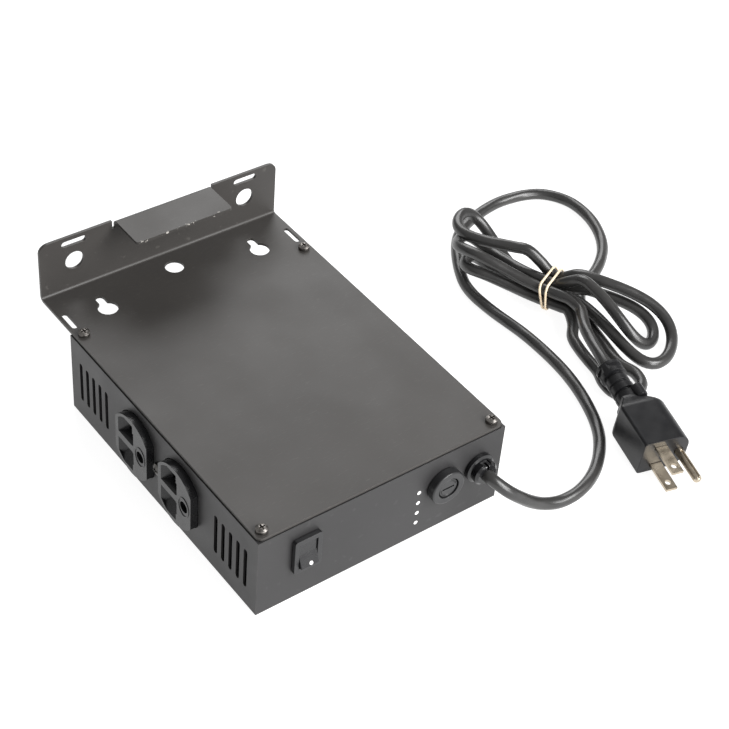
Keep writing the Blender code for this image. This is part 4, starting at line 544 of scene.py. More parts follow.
def named(name: str) -> Piece:
    """Give the object that was just added its name.

    Args:
        name: Name of the piece.

    Returns:
        The object.
    """
    piece = bpy.context.object
    piece.name = name
    piece.data.name = name
    return piece


def stacked(name: str, profile: list[Span], sides: int = 48) -> Piece:
    """Raise a round solid ring by ring from a disc.

    Args:
        name: Name of the piece.
        profile: Radius and height of each ring, from one end to the other.
        sides: Sides of the round.

    Returns:
        The upright solid.
    """
    bpy.ops.object.select_all(action="DESELECT")
    radius, height = profile[0]
    bpy.ops.mesh.primitive_circle_add(vertices=sides, radius=radius, fill_type="NGON")
    piece = named(name)
    bpy.ops.object.mode_set(mode="EDIT")
    bpy.ops.mesh.select_all(action="SELECT")
    bpy.ops.transform.translate(value=(0, 0, height))
    for wide, high in profile[1:]:
        bpy.ops.mesh.extrude_region_move(TRANSFORM_OT_translate={"value": (0, 0, high - height)})
        share = wide / radius
        bpy.ops.transform.resize(value=(share, share, 1), center_override=(0, 0, high))
        radius, height = wide, high
    bpy.ops.object.mode_set(mode="OBJECT")
    return facing_out(piece)


def facing_out(piece: Piece) -> Piece:
    """Turn a closed piece's faces outwards.

    Args:
        piece: Object to mend.

    Returns:
        The same object.
    """
    alone(piece)
    bpy.ops.object.mode_set(mode="EDIT")
    bpy.ops.mesh.select_all(action="SELECT")
    bpy.ops.mesh.normals_make_consistent(inside=False)
    bpy.ops.object.mode_set(mode="OBJECT")
    return piece


def block(name: str, size: Point, centre: Point) -> Piece:
    """Add a box to be shaped further.

    Args:
        name: Name of the piece.
        size: Lengths along X, Y and Z.
        centre: Its middle.

    Returns:
        The box, its size and place in its mesh.
    """
    bpy.ops.object.select_all(action="DESELECT")
    bpy.ops.mesh.primitive_cube_add(size=1)
    piece = named(name)
    piece.data.transform(Matrix.Translation(centre) @ Matrix.Diagonal((*size, 1)))
    return piece


def applied(piece: Piece, kind: str, **settings: object) -> Piece:
    """Add one modifier to a piece and apply it.

    Args:
        piece: Object to change.
        kind: Blender's modifier type.
        settings: The modifier's values.

    Returns:
        The same object.
    """
    alone(piece)
    modifier = piece.modifiers.new(kind.title(), kind)
    for key, value in settings.items():
        setattr(modifier, key, value)
    bpy.ops.object.modifier_apply(modifier=modifier.name)
    return piece


def carved(piece: Piece, *cutters: Piece) -> Piece:
    """Cut shapes out of a piece.

    Args:
        piece: Object to cut.
        cutters: Closed shapes, used up by the cut.

    Returns:
        The same object.
    """
    for cutter in cutters:
        applied(piece, "BOOLEAN", operation="DIFFERENCE", object=cutter)
        bpy.data.objects.remove(cutter)
    return piece


def softened(piece: Piece, width: float, segments: int = 2, edge_slot: int = -1) -> Piece:
    """Round a piece's sharp edges and shade it smooth.

    Args:
        piece: Object to finish.
        width: Width of the rounding.
        segments: Steps across it.
        edge_slot: Material slot of the rounded faces, or -1 for their own.

    Returns:
        The same object.
    """
    applied(
        piece,
        "BEVEL",
        width=width,
        segments=segments,
        limit_method="ANGLE",
        angle_limit=SHARP_BEVEL,
        use_clamp_overlap=True,
        material=edge_slot,
    )
    alone(piece)
    bpy.ops.object.shade_smooth_by_angle(angle=SHARP_SHADE)
    return applied(piece, "WEIGHTED_NORMAL", mode="FACE_AREA", weight=FLAT_WEIGHT, keep_sharp=True)


def joined(name: str, pieces: list[Piece]) -> Piece:
    """Join objects into one.

    Args:
        name: Name of the joined piece.
        pieces: Objects to join.

    Returns:
        The joined object.
    """
    alone(pieces[0])
    for piece in pieces[1:]:
        piece.select_set(True)
    if len(pieces) > 1:
        bpy.ops.object.join()
    return named(name)


def tube(name: str, points: list[Vector], radius: float, closed: bool = False, sides: int = 4) -> Piece:
    """Draw a round wire along points.

    Args:
        name: Name of the piece.
        points: Its centre line.
        radius: Its radius.
        closed: Whether it is a ring.
        sides: Fineness of its round.

    Returns:
        The curve object.
    """
    line = bpy.data.curves.new(name, "CURVE")
    line.dimensions = "3D"
    line.bevel_depth = radius
    line.bevel_resolution = sides
    line.use_fill_caps = not closed
    spline = line.splines.new("POLY")
    spline.points.add(len(points) - 1)
    for spot, point in zip(spline.points, points):
        spot.co = (*point, 1.0)
    spline.use_cyclic_u = closed
    piece = bpy.data.objects.new(name, line)
    bpy.context.scene.collection.objects.link(piece)
    return piece


def meshed(piece: Piece) -> Piece:
    """Make a curve a mesh.

    Args:
        piece: Curve object.

    Returns:
        The object, now a mesh.
    """
    alone(piece)
    bpy.ops.object.convert(target="MESH")
    bpy.ops.object.shade_smooth()
    return bpy.context.object


def copied(node: str, name: str) -> Piece:
    """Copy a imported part's form, merged and with its flat faces whole.

    Args:
        node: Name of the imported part.
        name: Name of the new piece.

    Returns:
        The new object.
    """
    piece = bpy.data.objects.new(name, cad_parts[node].data.copy())
    piece.data.name = name
    bpy.context.scene.collection.objects.link(piece)
    alone(piece)
    bpy.ops.object.mode_set(mode="EDIT")
    bpy.ops.mesh.select_all(action="SELECT")
    bpy.ops.mesh.remove_doubles(threshold=MERGE_DISTANCE)
    bpy.ops.mesh.dissolve_limited(angle_limit=SAME_PLANE)
    bpy.ops.object.mode_set(mode="OBJECT")
    return piece


def dressed(piece: Piece, *finishes: Finish) -> Piece:
    """Give a piece its surfaces in place of those it has.

    Args:
        piece: Object to dress.
        finishes: Its surfaces, the main one first.

    Returns:
        The same object.
    """
    piece.data.materials.clear()
    for finish in finishes:
        piece.data.materials.append(finish.material())
    return piece


def finished(
    piece: Piece,
    finish: Finish,
    body: str = "housing",
    replaces: tuple[str, ...] = (),
) -> Piece:
    """Dress a piece unless it is, let it ride on its body and report it.

    Args:
        piece: Object to finish.
        finish: Its surface.
        body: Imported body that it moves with.
        replaces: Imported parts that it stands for.

    Returns:
        The same object.
    """
    if finish.material() not in list(piece.data.materials):
        dressed(piece, finish)
    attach(piece, body)
    if replaces:
        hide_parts(*replaces)
    LOG.info("%s: %s on %s", piece.name, finish.name, body)
    return piece


def refined(
    node: str,
    name: str,
    finish: Finish,
    width: float,
    body: str = "housing",
    edge: Finish | None = None,
    segments: int = 2,
) -> Piece:
    """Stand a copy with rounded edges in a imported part's place.

    Args:
        node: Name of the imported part.
        name: Name of the new piece.
        finish: Its surface.
        width: Width of the rounding.
        body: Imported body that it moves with.
        edge: Surface of its rounded edges, if they differ.
        segments: Steps across the rounding.

    Returns:
        The new piece.
    """
    piece = dressed(copied(node, name), finish, *([edge] if edge else []))
    softened(piece, width, segments, edge_slot=1 if edge else -1)
    return finished(piece, finish, body, (node,))


# Sub-assemblies


@dataclass
class Studio:
    """Pale floor, soft lights and the camera."""

    eye: Point = (-0.38774, -0.53882, 0.63789)
    look: Point = (0.845189, -0.067474, -0.633835)
    focal_px: float = 1817.714
    frame_px: float = 729.0
    sensor_mm: float = 36.0
    near_clip: float = 0.01
    floor_size: float = 12.0
    floor_drop: float = 0.0002
    floor_tones: Span = (0.30, 0.33)
    floor_patch: float = 0.8
    floor_rough: float = 0.9
    floor_specular: float = 0.1
    floor_glow: float = 0.90
    sky: float = 0.38
    lit_point: Point = (0.06, 0.0, 0.03)
    lights: tuple[tuple[str, Point, float, float], ...] = (
        ("key_light", (0.9, -1.45, 1.4), 1.2, 58.0),
        ("back_light", (1.0, 1.5, 1.3), 1.3, 22.0),
        ("front_light", (0.25, -1.9, 0.55), 0.9, 26.0),
    )

    def camera(self) -> Piece:
        """Place the camera.

        Returns:
            The camera object.
        """
        lens = bpy.data.cameras.new("camera")
        lens.sensor_width = self.sensor_mm
        lens.lens = self.focal_px * self.sensor_mm / self.frame_px
        lens.clip_start = self.near_clip
        camera = bpy.data.objects.new("camera", lens)
        camera.location = self.eye
        camera.rotation_euler = Euler(self.look, "XYZ")
        bpy.context.scene.collection.objects.link(camera)
        bpy.context.scene.camera = camera
        return camera

    def floor(self) -> Piece:
        """Lay the pale floor.

        Returns:
            The floor object.
        """
        bpy.ops.object.select_all(action="DESELECT")
        bpy.ops.mesh.primitive_plane_add(size=self.floor_size, location=(0, 0, -self.floor_drop))
        floor = named("floor")
        surface = Surface("floor_white")
        low, high = GLOSS_RANGE
        tone = surface.ranged(surface.noise(self.floor_patch, 2.0), (low, 0.0), (high, 1.0))
        dark, light = [(grey, grey, grey) for grey in self.floor_tones]
        surface.feed("Base Color", surface.mixed(tone, dark, light))
        surface.feed("Roughness", self.floor_rough)
        surface.feed("Specular IOR Level", self.floor_specular)
        surface.feed("Emission Color", (1.0, 1.0, 1.0))
        surface.feed("Emission Strength", self.floor_glow)
        floor.data.materials.append(surface.material)
        return floor

    def light(self, name: str, place: Point, size: float, power: float) -> Piece:
        """Hang one soft light.

        Args:
            name: Name of the light.
            place: Its middle.
            size: Side of its square.
            power: Watts.

        Returns:
            The light object.
        """
        lamp = bpy.data.lights.new(name, "AREA")
        lamp.shape = "SQUARE"
        lamp.size = size
        lamp.energy = power
        light = bpy.data.objects.new(name, lamp)
        light.location = place
        aim = Vector(self.lit_point) - Vector(place)
        light.rotation_euler = aim.to_track_quat("-Z", "Y").to_euler()
        bpy.context.scene.collection.objects.link(light)
        return light

    def build(self) -> None:
        """Set up the camera, floor, world and lights."""
        self.camera()
        self.floor()
        scene = bpy.context.scene
        scene.view_settings.view_transform = "Standard"
        world = bpy.data.worlds.new("studio")
        world.use_nodes = True
        sky = world.node_tree.nodes["Background"]
        sky.inputs["Color"].default_value = (1.0, 1.0, 1.0, 1.0)
        sky.inputs["Strength"].default_value = self.sky
        scene.world = world
        for values in self.lights:
            self.light(*values)
        LOG.info("studio: camera, floor and three lights")


@dataclass(frozen=True)
class Lobe:
    """One loop end of the hank, out from the waist and back to it."""

    side: int
    first: int
    leave: Span
    come_back: Span
    reach: float
    belly: float
    swing: float
    heights: Point
    mid: float


@dataclass
class PlugPlace:
    """Where the plug lies."""

    face: Point = (0.2244, -0.0319, 0.0114)
    yaw: float = math.radians(-103.6)
    pitch: float = math.radians(5.4)
    roll: float = math.radians(-1)
    length: float = 0.062

    def frame(self) -> Matrix:
        """Frame of the plug, x out of its face along the prongs.

        Returns:
            Matrix from the plug's own sizes to the world.
        """
        turn = Matrix.Rotation(self.yaw, 4, "Z") @ Matrix.Rotation(self.pitch, 4, "Y")
        turn = turn @ Matrix.Rotation(self.roll, 4, "X")
        return Matrix.Translation(from_corner(self.face)) @ turn


def from_corner(point: Point) -> Vector:
    """World place of a point measured from the box's near left corner."""
    return Vector((point[0] - HALF_WIDTH, point[1] + FRONT_Y, point[2]))


def ease(share: float) -> float:
    """Smooth step from 0 to 1."""
    return share * share * (3 - 2 * share)


SLIGHT = 1e-9


@dataclass
class FreeCord:
    """Mains cord from the gland to the plug, with its hank and rubber band."""

    gap: float = 0.0003
    clearance: float = 0.00005
    waist: Span = (0.2625, 0.098)
    waist_angle: float = math.radians(114.8)
    strand_pitch: float = 0.0074
    low_layer: float = 0.0076
    top_layer: float = 0.015
    tie_reach: Span = (-0.0012, 0.0045)
    hank_start: float = 0.009
    loop_points: int = 24
    belly_share: float = 1.5 * math.sqrt(3)
    cord_step: float = 0.00975
    cord_stub: float = 0.0033
    cord_sides: int = 5
    entry_reach: float = 0.018
    entry_shift: float = 0.0045
    entry_drop: float = 0.0018
    lead_shift: float = 0.0015
    fine_steps: int = 16
    line_step: float = 0.0022

    drop_route: tuple[Point, ...] = (
        (0.1274, -0.0132, 0.0279),
        (0.1302, -0.0164, 0.0252),
        (0.1354, -0.0186, 0.0204),
        (0.1418, -0.0200, 0.0146),
        (0.1492, -0.0212, 0.0091),
        (0.1570, -0.0222, 0.0051),
    )
    table_route: tuple[Span, ...] = (
        (0.1655, -0.0234), (0.1760, -0.0230), (0.1900, -0.0180), (0.2045, -0.0070),
        (0.2160, 0.0080), (0.2280, 0.0415), (0.2310, 0.0780), (0.2280, 0.1145),
        (0.2300, 0.1340), (0.2490, 0.1655), (0.2620, 0.1755), (0.2900, 0.1835),
        (0.3060, 0.1830), (0.3220, 0.1775), (0.3320, 0.1630), (0.3315, 0.1420),
        (0.3215, 0.1210), (0.3075, 0.1080), (0.2950, 0.1015), (0.2845, 0.0975),
        (0.2700, 0.0800), (0.2640, 0.0600), (0.2590, 0.0360), (0.2610, 0.0255),
        (0.2565, 0.0175), (0.2500, 0.0155), (0.2435, 0.0180), (0.2400, 0.0255),
        (0.2445, 0.0380), (0.2475, 0.0540), (0.2515, 0.0670),
    )
    lead_route: tuple[Point, ...] = ((0.2605, 0.0730, 0.0144), (0.2500, 0.0575, 0.0165))

    band_radius: float = 0.00066
    band_spread: float = 0.0021
    band_meet: float = 0.0007
    band_lean: float = 0.0032
    band_shift: float = -0.0008
    band_turn_steps: int = 8

    def lobes(self) -> tuple[Lobe, ...]:
        """The hank's five loop ends.

        Returns:
            The lobes in the cord's order.
        """
        low, top = self.low_layer, self.top_layer
        return (
            Lobe(1, -1, (-1, low), (0, low), 0.0474, 0.0082, 0.0013, (0.0145, 0.0115, 0.0039), 0.53),
            Lobe(-1, -1, (0, low), (1, top), 0.0717, 0.0159, -0.0113, (0.0109, 0.0033, 0.0213), 0.10),
            Lobe(1, -1, (1, top), (1, low), 0.0610, 0.0121, 0.0059, (0.0260, 0.0260, 0.0033), 0.16),
            Lobe(-1, 1, (1, low), (0, top), 0.0596, 0.0100, -0.0055, (0.0124, 0.0033, 0.0260), 0.16),
            Lobe(1, 1, (0, top), (-1, top), 0.0556, 0.0101, 0.0076, (0.0105, 0.0182, 0.0245), 0.52),
        )

    def at_waist(self, along: float, across: float, height: float) -> Vector:
        """World place of a point measured along and across the hank's waist.

        Args:
            along: Distance along the runs.
            across: Distance across them.
            height: Height above the table.

        Returns:
            The point.
        """
        run = Vector((math.cos(self.waist_angle), math.sin(self.waist_angle)))
        width = Vector((math.sin(self.waist_angle), -math.cos(self.waist_angle)))
        plan = Vector(self.waist) + run * along + width * across
        return from_corner((plan.x, plan.y, height))

    def lobe_points(self, lobe: Lobe) -> list[Vector]:
        """Points of one loop end, from the waist out and back.

        Args:
            lobe: The loop end.

        Returns:
            Its points.
        """
        stations = (0, lobe.mid, 1, 2 - lobe.mid, 2)
        levels = (lobe.leave[1], *lobe.heights, lobe.come_back[1])
        belly = lobe.first * lobe.belly * self.belly_share
        points = []
        for index in range(self.loop_points + 1):
            turn = math.pi * index / self.loop_points
            out = math.sin(turn)
            moved = (lobe.come_back[0] - lobe.leave[0]) * (1 - math.cos(turn)) / 2
            sideways = (belly * math.cos(turn) + lobe.swing) * out * out
            across = self.strand_pitch * (lobe.leave[0] + moved) + sideways
            quarter = 2 * index / self.loop_points
            stage = max(number for number in range(4) if stations[number] <= quarter + SLIGHT)
            share = (quarter - stations[stage]) / (stations[stage + 1] - stations[stage])
            height = levels[stage] + (levels[stage + 1] - levels[stage]) * ease(min(share, 1))
            along = self.tie_reach[lobe.side > 0] + lobe.side * lobe.reach * out
            points.append(self.at_waist(along, across, height))
        return points

    def hank_points(self) -> list[Vector]:
        """The whole hank as one line."""
        points = [self.at_waist(-self.hank_start, -self.strand_pitch, self.low_layer)]
        for lobe in self.lobes():
            points += self.lobe_points(lobe)
        points.append(self.at_waist(-self.hank_start, -self.strand_pitch, self.top_layer))
        return points

    def smooth_line(self, points: list[Vector]) -> list[Vector]:
        """Fine points of a centripetal curve through a route.

        Args:
            points: The route.

        Returns:
            The fine points.
        """
        route = [2 * points[0] - points[1], *points, 2 * points[-1] - points[-2]]
        fine = []
        for spans in zip(route, route[1:], route[2:], route[3:]):
            knots = [0.0]
            for start, end in zip(spans, spans[1:]):
                knots.append(knots[-1] + math.sqrt((end - start).length))
            for step in range(self.fine_steps):
                time = knots[1] + (knots[2] - knots[1]) * step / self.fine_steps
                level = list(spans)
                for lows, highs in (((0, 1, 2), (1, 2, 3)), ((0, 1), (2, 3)), ((1,), (2,))):
                    shares = [(time - knots[a]) / (knots[b] - knots[a]) for a, b in zip(lows, highs)]
                    level = [level[i].lerp(level[i + 1], share) for i, share in enumerate(shares)]
                fine.append(level[0])
        fine.append(points[-1])
        return fine

    def even_line(self, fine: list[Vector], step: float) -> list[Vector]:
        """Points at even steps along a fine line, both ends kept.

        Args:
            fine: The fine line.
            step: Distance between points.

        Returns:
            The even points.
        """
        lengths = [0.0]
        for start, end in zip(fine, fine[1:]):
            lengths.append(lengths[-1] + (end - start).length)
        count = max(1, round(lengths[-1] / step))
        points = []
        at = 0
        for index in range(count + 1):
            wanted = lengths[-1] * index / count
            while at < len(fine) - 2 and lengths[at + 1] < wanted:
                at += 1
            share = (wanted - lengths[at]) / (lengths[at + 1] - lengths[at])
            points.append(fine[at].lerp(fine[at + 1], min(share, 1)))
        return points

    def stubbed(
        self, start: Vector, start_way: Vector, route: list[Vector], end: Vector, end_way: Vector
    ) -> list[Vector]:
        """A stretch with a straight stub at each end.

        Args:
            start: First point.
            start_way: Direction out of it.
            route: Points between.
            end: Last point.
            end_way: Direction into it.

        Returns:
            The stretch's points.
        """
        first = start + start_way * self.cord_stub
        last = end - end_way * self.cord_stub
        line = self.even_line(self.smooth_line([first, *route, last]), self.cord_step)
        least = CORD_RADIUS + self.clearance
        lying = [Vector((point.x, point.y, max(point.z, least))) for point in line]
        return [start, *lying, end]

    def exit_point(self) -> Vector:
        """Where the cord leaves the gland."""
        return Vector((GLAND_FROM_LEFT - HALF_WIDTH, FRONT_Y - GLAND_PROUD - self.gap, GLAND_HEIGHT))

    def line(self) -> list[Vector]:
        """Centre line of the whole cord from gland to plug.

        Returns:
            Even points along it.
        """
        run = Vector((math.cos(self.waist_angle), math.sin(self.waist_angle), 0))
        hank = self.hank_points()
        lying = [(x, y, CORD_RADIUS + self.clearance) for x, y in self.table_route]
        route = [from_corner(point) for point in [*self.drop_route, *lying]]
        entry_across = -self.strand_pitch - self.entry_shift
        route.append(self.at_waist(-self.entry_reach, entry_across, self.low_layer - self.entry_drop))
        entry = hank[0] - run * self.gap
        free = self.stubbed(self.exit_point(), Vector((0, -1, 0)), route, entry, run)
        place = PlugPlace()
        forward = (place.frame().to_3x3() @ Vector((1, 0, 0))).normalized()
        neck = place.frame() @ Vector((-place.length - self.gap, 0, 0))
        lead_across = -self.strand_pitch - self.lead_shift
        lead_route = [self.at_waist(-self.entry_reach, lead_across, self.top_layer)]
        lead_route += [from_corner(point) for point in self.lead_route]
        lead = self.stubbed(hank[-1] - run * self.gap, -run, lead_route, neck, forward)
        whole = free[:-1] + hank + lead[1:]
        return self.even_line(self.smooth_line(whole), self.line_step)

    def jacket(self) -> Piece:
        """Lay the cord.

        Returns:
            The cord's curve.
        """
        points = self.line()
        cord = tube("mains_cord", points, CORD_RADIUS, sides=self.cord_sides)
        finished(cord, JACKET, replaces=("power_cord", "power_cord_hank", "plug_lead"))
        return cord

    def band(self) -> Piece:
        """Wind the rubber band's two strands round the waist.

        Returns:
            The band.
        """
        reach = CORD_RADIUS + self.gap + self.band_radius
        middle = sum(self.tie_reach) / 2
        low, top = self.low_layer, self.top_layer
        corners = ((1, top, 0.0), (-1, top, 90.0), (-1, low, 180.0), (1, low, 270.0))
        steps = self.band_turn_steps
        strands = []
        for side in (-1, 1):
            points = []
            for sign, height, start in corners:
                for step in range(steps + 1):
                    angle = math.radians(start + 90 * step / steps)
                    across = sign * self.strand_pitch + reach * math.cos(angle)
                    up = height + reach * math.sin(angle)
                    share = (up - low + reach) / (top - low + 2 * reach)
                    spread = self.band_meet + (self.band_spread - self.band_meet) * share
                    along = middle + self.band_shift + side * spread + self.band_lean * (share - 0.5)
                    points.append(self.at_waist(along, across, up))
            strands.append(meshed(tube(f"strand_{side}", points, self.band_radius, closed=True, sides=3)))
        return finished(joined("band_strands", strands), BAND_RUBBER, replaces=("cord_band",))


@dataclass
class Plug:
    """Moulded plug with its ribbed neck, two blades and ground pin."""

    width: float = 0.027
    height: float = 0.0222
    corners: tuple[tuple[int, float, int], ...] = ((-1, 0.0016, 4), (1, 0.0085, 10))
    block_depth: float = 0.026
    shoulder: float = 0.011
    shoulder_tip: float = 0.0064
    neck_radius: float = 0.0066
    groove_radius: float = 0.0054
    collar_radius: float = 0.0071
    neck_overlap: float = 0.003
    neck_taper: float = 0.0002
    ring_ends: tuple[float, ...] = (0.0405, 0.0428, 0.0462, 0.0484, 0.0520)
    groove_ends: tuple[Span, ...] = ((0.0409, 0.0424), (0.0466, 0.0480), (0.0523, 0.0538))
    collar_start: float = 0.0542
    collar_round: float = 0.0008
    rounding: float = 0.0005
    neck_rounding: float = 0.00025
    blade_rounding: float = 0.0003
    pin_rounding: float = 0.0002
    mouth_gap: float = 0.0004
    window_back: float = 0.0579
    window_size: Point = (0.0026, 0.0022, 0.0078)
    shoulder_steps: int = 7
    lobe_radius: float = 0.0033
    lobe_length: float = 0.0075
    lobe_round: float = 0.0006
    lobe_shares: Span = (0.75, 0.8)
    lobe_sides: int = 28
    edge_slack: float = 0.0001
    back_normal: float = -0.9
    lobe_place: Point = (-0.0415, 0.0040, 0.0060)
    socket_gap: float = 0.0001
    socket_depth: float = 0.006
    pin_groove: Span = (0.0009, 0.0016)
    pin_groove_ends: Span = (0.0012, 0.001)

    def moulded_block(self) -> Piece:
        """Block with a flat blade side, a round pin side and a shoulder drawn in.

        Returns:
            The block in the plug's own frame.
        """
        depth = self.block_depth
        piece = block("plug_block", (depth, self.width, self.height), (-depth / 2, 0, 0))
        mesh = bmesh.new()
        mesh.from_mesh(piece.data)
        for side, width, steps in self.corners:
            edges = [
                edge
                for edge in mesh.edges
                if abs(edge.verts[0].co.x - edge.verts[1].co.x) > depth / 2
                and all(vert.co.y * side > self.width / 2 - self.edge_slack for vert in edge.verts)
            ]
            bmesh.ops.bevel(mesh, geom=edges, offset=width, segments=steps, profile=0.5, affect="EDGES")
        mesh.to_mesh(piece.data)
        mesh.free()
        alone(piece)
        bpy.ops.object.mode_set(mode="EDIT")
        bpy.ops.mesh.select_all(action="DESELECT")
        edit = bmesh.from_edit_mesh(piece.data)
        edit.faces.ensure_lookup_table()
        for face in edit.faces:
            face.select_set(face.normal.x < self.back_normal)
        bmesh.update_edit_mesh(piece.data)
        steps = self.shoulder_steps
        tips = (2 * self.shoulder_tip / self.width, 2 * self.shoulder_tip / self.height)
        last = (1.0, 1.0)
        for step in range(1, steps + 1):
            share = ease(step / steps)
            size = tuple(1 - (1 - tip) * share for tip in tips)
            move = {"value": (-self.shoulder / steps, 0, 0)}
            bpy.ops.mesh.extrude_region_move(TRANSFORM_OT_translate=move)
            scale = (1, size[0] / last[0], size[1] / last[1])
            bpy.ops.transform.resize(value=scale, center_override=(0, 0, 0))
            last = size
        bpy.ops.object.mode_set(mode="OBJECT")
        return facing_out(piece)

    def neck(self) -> Piece:
        """Ribbed neck with its slotted collar.

        Returns:
            The neck in the plug's own frame.
        """
        start = self.block_depth + self.shoulder - self.neck_overlap
        end = PlugPlace().length
        ring, collar = self.neck_radius, self.collar_radius
        heights = (start, *self.ring_ends)
        profile = []
        for index, groove in enumerate(self.groove_ends):
            radius = ring - index * self.neck_taper
            profile += [(radius, height) for height in heights[2 * index : 2 * index + 2]]
            profile += [(self.groove_radius, height) for height in groove]
        rounded = self.collar_round
        profile += [(collar, self.collar_start), (collar, end - rounded), (collar - rounded, end)]
        profile.append((CORD_RADIUS + self.mouth_gap, end))
        piece = stacked("plug_neck", profile)
        piece.data.transform(Axis.LEFT.turn())
        windows = []
        along, deep, wide = self.window_size
        for side_y, side_z in ((1, 0), (-1, 0), (0, 1), (0, -1)):
            centre = (-self.window_back, side_y * collar, side_z * collar)
            size = (along, deep if side_y else wide, deep if side_z else wide)
            windows.append(block("window", size, centre))
        return carved(piece, *windows)

    def grip_lobe(self) -> Piece:
        """Round grip lobe on the shoulder's upper side.

        Returns:
            The lobe in the plug's own frame.
        """
        radius, length, rounded = self.lobe_radius, self.lobe_length, self.lobe_round
        foot, tip = self.lobe_shares
        profile = [(radius * foot, 0.0), (radius, rounded), (radius, length)]
        profile.append((radius * tip, length + rounded))
        lobe = stacked("grip_lobe", profile, self.lobe_sides)
        lobe.data.transform(Matrix.Translation(self.lobe_place) @ Axis.RIGHT.turn())
        return lobe

    def build(self) -> None:
        """Make the plug's pieces."""
        place = PlugPlace().frame()
        body = self.moulded_block()
        sockets = []
        for node in ("plug_blade_1", "plug_blade_2"):
            low, high = self.own_box(node)
            wide, tall = [side + 2 * self.socket_gap for side in (high - low).yz]
            size = (2 * self.socket_depth, wide, tall)
            sockets.append(block("socket", size, (0, (low.y + high.y) / 2, (low.z + high.z) / 2)))
        low, high = self.own_box("plug_ground_pin")
        radius = (high.y - low.y) / 2 + self.socket_gap
        depth = self.socket_depth
        hole = stacked("pin_socket", [(radius, -depth), (radius, depth)], DOT_SIDES)
        hole.data.transform(Matrix.Translation((0, (low.y + high.y) / 2, 0)) @ Axis.RIGHT.turn())
        carved(body, *sockets, hole)
        softened(body, self.rounding)
        neck = softened(self.neck(), self.neck_rounding)
        lobe = softened(self.grip_lobe(), self.rounding)
        moulding = joined("plug_moulding", [body, neck, lobe])
        moulding.data.transform(place)
        finished(moulding, PLUG_VINYL, replaces=("plug_body",))
        refined("plug_blade_1", "blade_left", BLADE_NICKEL, self.blade_rounding)
        refined("plug_blade_2", "blade_right", BLADE_NICKEL, self.blade_rounding)
        self.ground_pin(place, low, high)

    def own_box(self, node: str) -> tuple[Vector, Vector]:
        """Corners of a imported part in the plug's own frame.

        Args:
            node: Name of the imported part.

        Returns:
            Its lowest and highest corner.
        """
        back = PlugPlace().frame().inverted()
        places = [back @ vert.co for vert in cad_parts[node].data.vertices]
        low = Vector([min(place[i] for place in places) for i in range(3)])
        high = Vector([max(place[i] for place in places) for i in range(3)])
        return low, high

    def ground_pin(self, place: Matrix, low: Vector, high: Vector) -> Piece:
        """Ground pin folded from sheet, with the fold's groove along it.

        Args:
            place: The plug's frame.
            low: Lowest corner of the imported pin.
            high: Its highest corner.

        Returns:
            The pin.
        """
        pin = copied("plug_ground_pin", "ground_pin")
        pin.data.transform(place.inverted())
        middle = (low.y + high.y) / 2
        shift, short = self.pin_groove_ends
        size = (high.x - short, *self.pin_groove)
        carved(pin, block("groove", size, (high.x / 2 + shift, middle, high.z)))
        pin.data.transform(place)
        softened(pin, self.pin_rounding)
        return finished(pin, BLADE_NICKEL, replaces=("plug_ground_pin",))


@dataclass
class Enclosure:
    """Folded tray, mounting plate, lid screws and the printed dots."""

    edge_width: float = 0.00035
    screw_rounding: float = 0.00022
    dot_from_left: float = 0.0914
    dot_heights: tuple[float, ...] = (0.0294, 0.0226, 0.0159, 0.0093)
    dot_radius: float = 0.0011
    dot_taper: float = 0.98
    print_depth: float = 0.00004
    print_lift: float = 0.00001

    def build(self) -> None:
        """Make the enclosure's pieces."""
        # The rounded edges of the tray and plate get the lighter edge finish, which is a painted
        # highlight.
        refined("base_tray", "tray_shell", BOX_PAINT, self.edge_width, edge=PAINTED_EDGE_HIGHLIGHT)
        refined("mounting_plate", "plate_sheet", PLATE_PAINT, self.edge_width, edge=PAINTED_EDGE_HIGHLIGHT)
        for index in range(1, 5):
            refined(f"lid_screw_{index}", f"lid_screw_head_{index}", SCREW_STEEL, self.screw_rounding)
        self.dots()

    def dots(self) -> Piece:
        """Print the row of plain dots on the end panel.

        Returns:
            The dots.
        """
        dots = []
        for height in self.dot_heights:
            profile = [(self.dot_radius, 0.0), (self.dot_radius * self.dot_taper, self.print_depth)]
            dot = stacked("dot", profile, DOT_SIDES)
            spot = (self.dot_from_left - HALF_WIDTH, FRONT_Y - self.print_lift, height)
            dot.data.transform(Matrix.Translation(spot) @ Axis.FRONT.turn())
            dots.append(dot)
        return finished(joined("panel_dots", dots), PRINT_WHITE)


